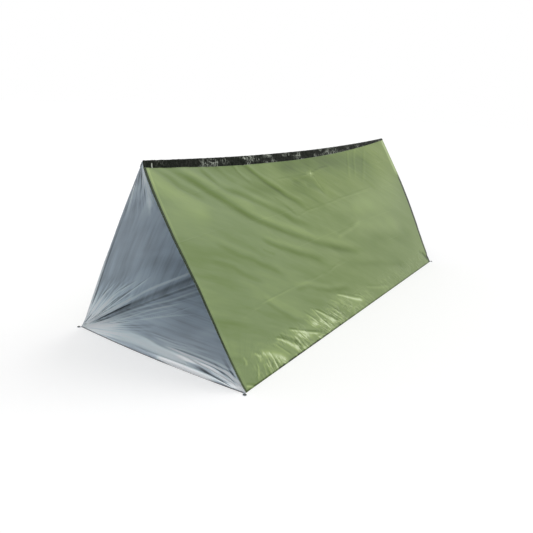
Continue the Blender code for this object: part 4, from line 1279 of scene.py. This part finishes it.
class TUBETENT_OT_studio(bpy.types.Operator):
    """Make the pale floor, the soft lamps, the world and the camera"""

    bl_idname = "tubetent.studio"
    bl_label = "Studio"

    def execute(self, context):
        colours = context.scene.tube_tent_colours
        self.floor(colours)
        self.world()
        self.lamp("key", (2.0, 2.3, 3.4), 42.0, 0.85)
        self.lamp("fill", (-3.4, -2.2, 3.4), 60.0, 0.35)
        self.lamp("front", (2.3, -3.7, 1.3), 50.0, 1.10)
        self.camera(context)
        context.scene.view_settings.view_transform = "Standard"
        return {"FINISHED"}

    @staticmethod
    def floor(colours):
        """A wide plain floor: white to the camera and in reflections, where the tent's shade stays grey."""
        size, low = STUDIO_HALF_SIZE, STUDIO_LEVEL
        points = np.array([(-size, -size, low), (size, -size, low), (size, size, low), (-size, size, low)])
        mesh = bpy.data.meshes.new("studio_floor")
        mesh.from_pydata(points.tolist(), [], [(0, 1, 2, 3)])
        made = bpy.data.objects.new("studio_floor", mesh)
        bpy.context.scene.collection.objects.link(made)
        web = Finish("studio_floor", Base_Color=colours.studio, Roughness=0.9, Specular_IOR_Level=0.0)
        plain = web.add("BsdfDiffuse", None, {"Color": shade(colours.studio, 0.80)})
        glow = web.add("Emission", None, {"Color": (1.0, 1.0, 1.0), "Strength": 0.40})
        both = web.add("AddShader", None, {0: plain, 1: glow})
        lit_floor = web.add("MixShader", None, {0: web.seen(), 1: Number(web, web.shader.outputs[0]), 2: both})
        web.tree.links.new(lit_floor.socket, web.tree.nodes["Material Output"].inputs["Surface"])
        mesh.materials.append(web.material)

    @staticmethod
    def world():
        """A plain pale world: white to the camera and in reflections, softer as a light."""
        world = bpy.data.worlds.new("studio")
        bpy.context.scene.world = world
        world.use_nodes = True
        world.node_tree.nodes.clear()
        web = Web(world.node_tree)
        soft, white = (web.add("Background", None, {"Color": (1.0, 1.0, 1.0), "Strength": strength})
                       for strength in (0.62, 1.0))
        mixed = web.add("MixShader", None, {0: web.seen(), 1: soft, 2: white})
        web.add("OutputWorld", None, {"Surface": mixed})

    @staticmethod
    def lamp(name, place, width, strength):
        """A wide even lamp, far off beyond a place, that looks at the tent over an angle in degrees."""
        data = bpy.data.lights.new(name, "SUN")
        data.angle = math.radians(width)
        data.energy = strength
        made = bpy.data.objects.new(name, data)
        bpy.context.scene.collection.objects.link(made)
        made.matrix_world = aim(place, -np.array(place) / np.linalg.norm(place), 0.0)

    @staticmethod
    def camera(context):
        """The photograph's viewpoint, fitted to the tent's outline and visible corners."""
        turn, tilt, roll = (math.radians(angle) for angle in CAMERA_ANGLES)
        away = np.array([math.sin(turn) * math.cos(tilt), -math.cos(turn) * math.cos(tilt), math.sin(tilt)])
        data = bpy.data.cameras.new("camera")
        data.sensor_width = 36.0
        data.lens = data.sensor_width * CAMERA_FOCAL
        data.clip_start, data.clip_end = 0.05, 200.0
        made = bpy.data.objects.new("camera", data)
        context.scene.collection.objects.link(made)
        made.matrix_world = aim(CAMERA_AIM + away * CAMERA_DISTANCE, -away, roll)
        context.scene.camera = made


def aim(place, forward, roll):
    """A matrix at a place whose -Z looks forward, rolled anticlockwise by an angle."""
    right = np.cross(forward, (0, 0, 1))
    right = right / np.linalg.norm(right)
    up = np.cross(right, forward)
    turned_right = math.cos(roll) * right + math.sin(roll) * up
    turned_up = -math.sin(roll) * right + math.cos(roll) * up
    matrix = Matrix.Identity(4)
    for row in range(3):
        matrix[row][0], matrix[row][1], matrix[row][2] = turned_right[row], turned_up[row], -forward[row]
        matrix[row][3] = place[row]
    return matrix


class TUBETENT_PT_sidebar(bpy.types.Panel):
    """The tent's sizes, colours and makers"""

    bl_idname = "TUBETENT_PT_sidebar"
    bl_label = "Tube tent"
    bl_space_type = "VIEW_3D"
    bl_region_type = "UI"
    bl_category = "Tube tent"

    def draw(self, context):
        for group in (context.scene.tube_tent_sizes, context.scene.tube_tent_colours):
            box = self.layout.box()
            for name in group.__annotations__:
                box.prop(group, name)
        for operator in OPERATORS:
            self.layout.operator(operator.bl_idname)


OPERATORS = (TUBETENT_OT_floor_film, TUBETENT_OT_wall_films, TUBETENT_OT_ridge_band, TUBETENT_OT_mouth_hems,
             TUBETENT_OT_corner_fittings, TUBETENT_OT_studio)
CLASSES = (TubeTentSizes, TubeTentColours, *OPERATORS, TUBETENT_PT_sidebar)


def register():
    """Add the classes and the scene's two groups of settings."""
    for item in CLASSES:
        bpy.utils.register_class(item)
    bpy.types.Scene.tube_tent_sizes = bpy.props.PointerProperty(type=TubeTentSizes)
    bpy.types.Scene.tube_tent_colours = bpy.props.PointerProperty(type=TubeTentColours)


def unregister():
    """Take them away again."""
    del bpy.types.Scene.tube_tent_colours
    del bpy.types.Scene.tube_tent_sizes
    for item in reversed(CLASSES):
        bpy.utils.unregister_class(item)


def main():
    """Build the tent and the studio."""
    register()
    bpy.ops.tubetent.floor_film()
    bpy.ops.tubetent.wall_films()
    bpy.ops.tubetent.ridge_band()
    bpy.ops.tubetent.mouth_hems()
    bpy.ops.tubetent.corner_fittings()
    bpy.ops.tubetent.studio()


if __name__ == "__main__":
    main()
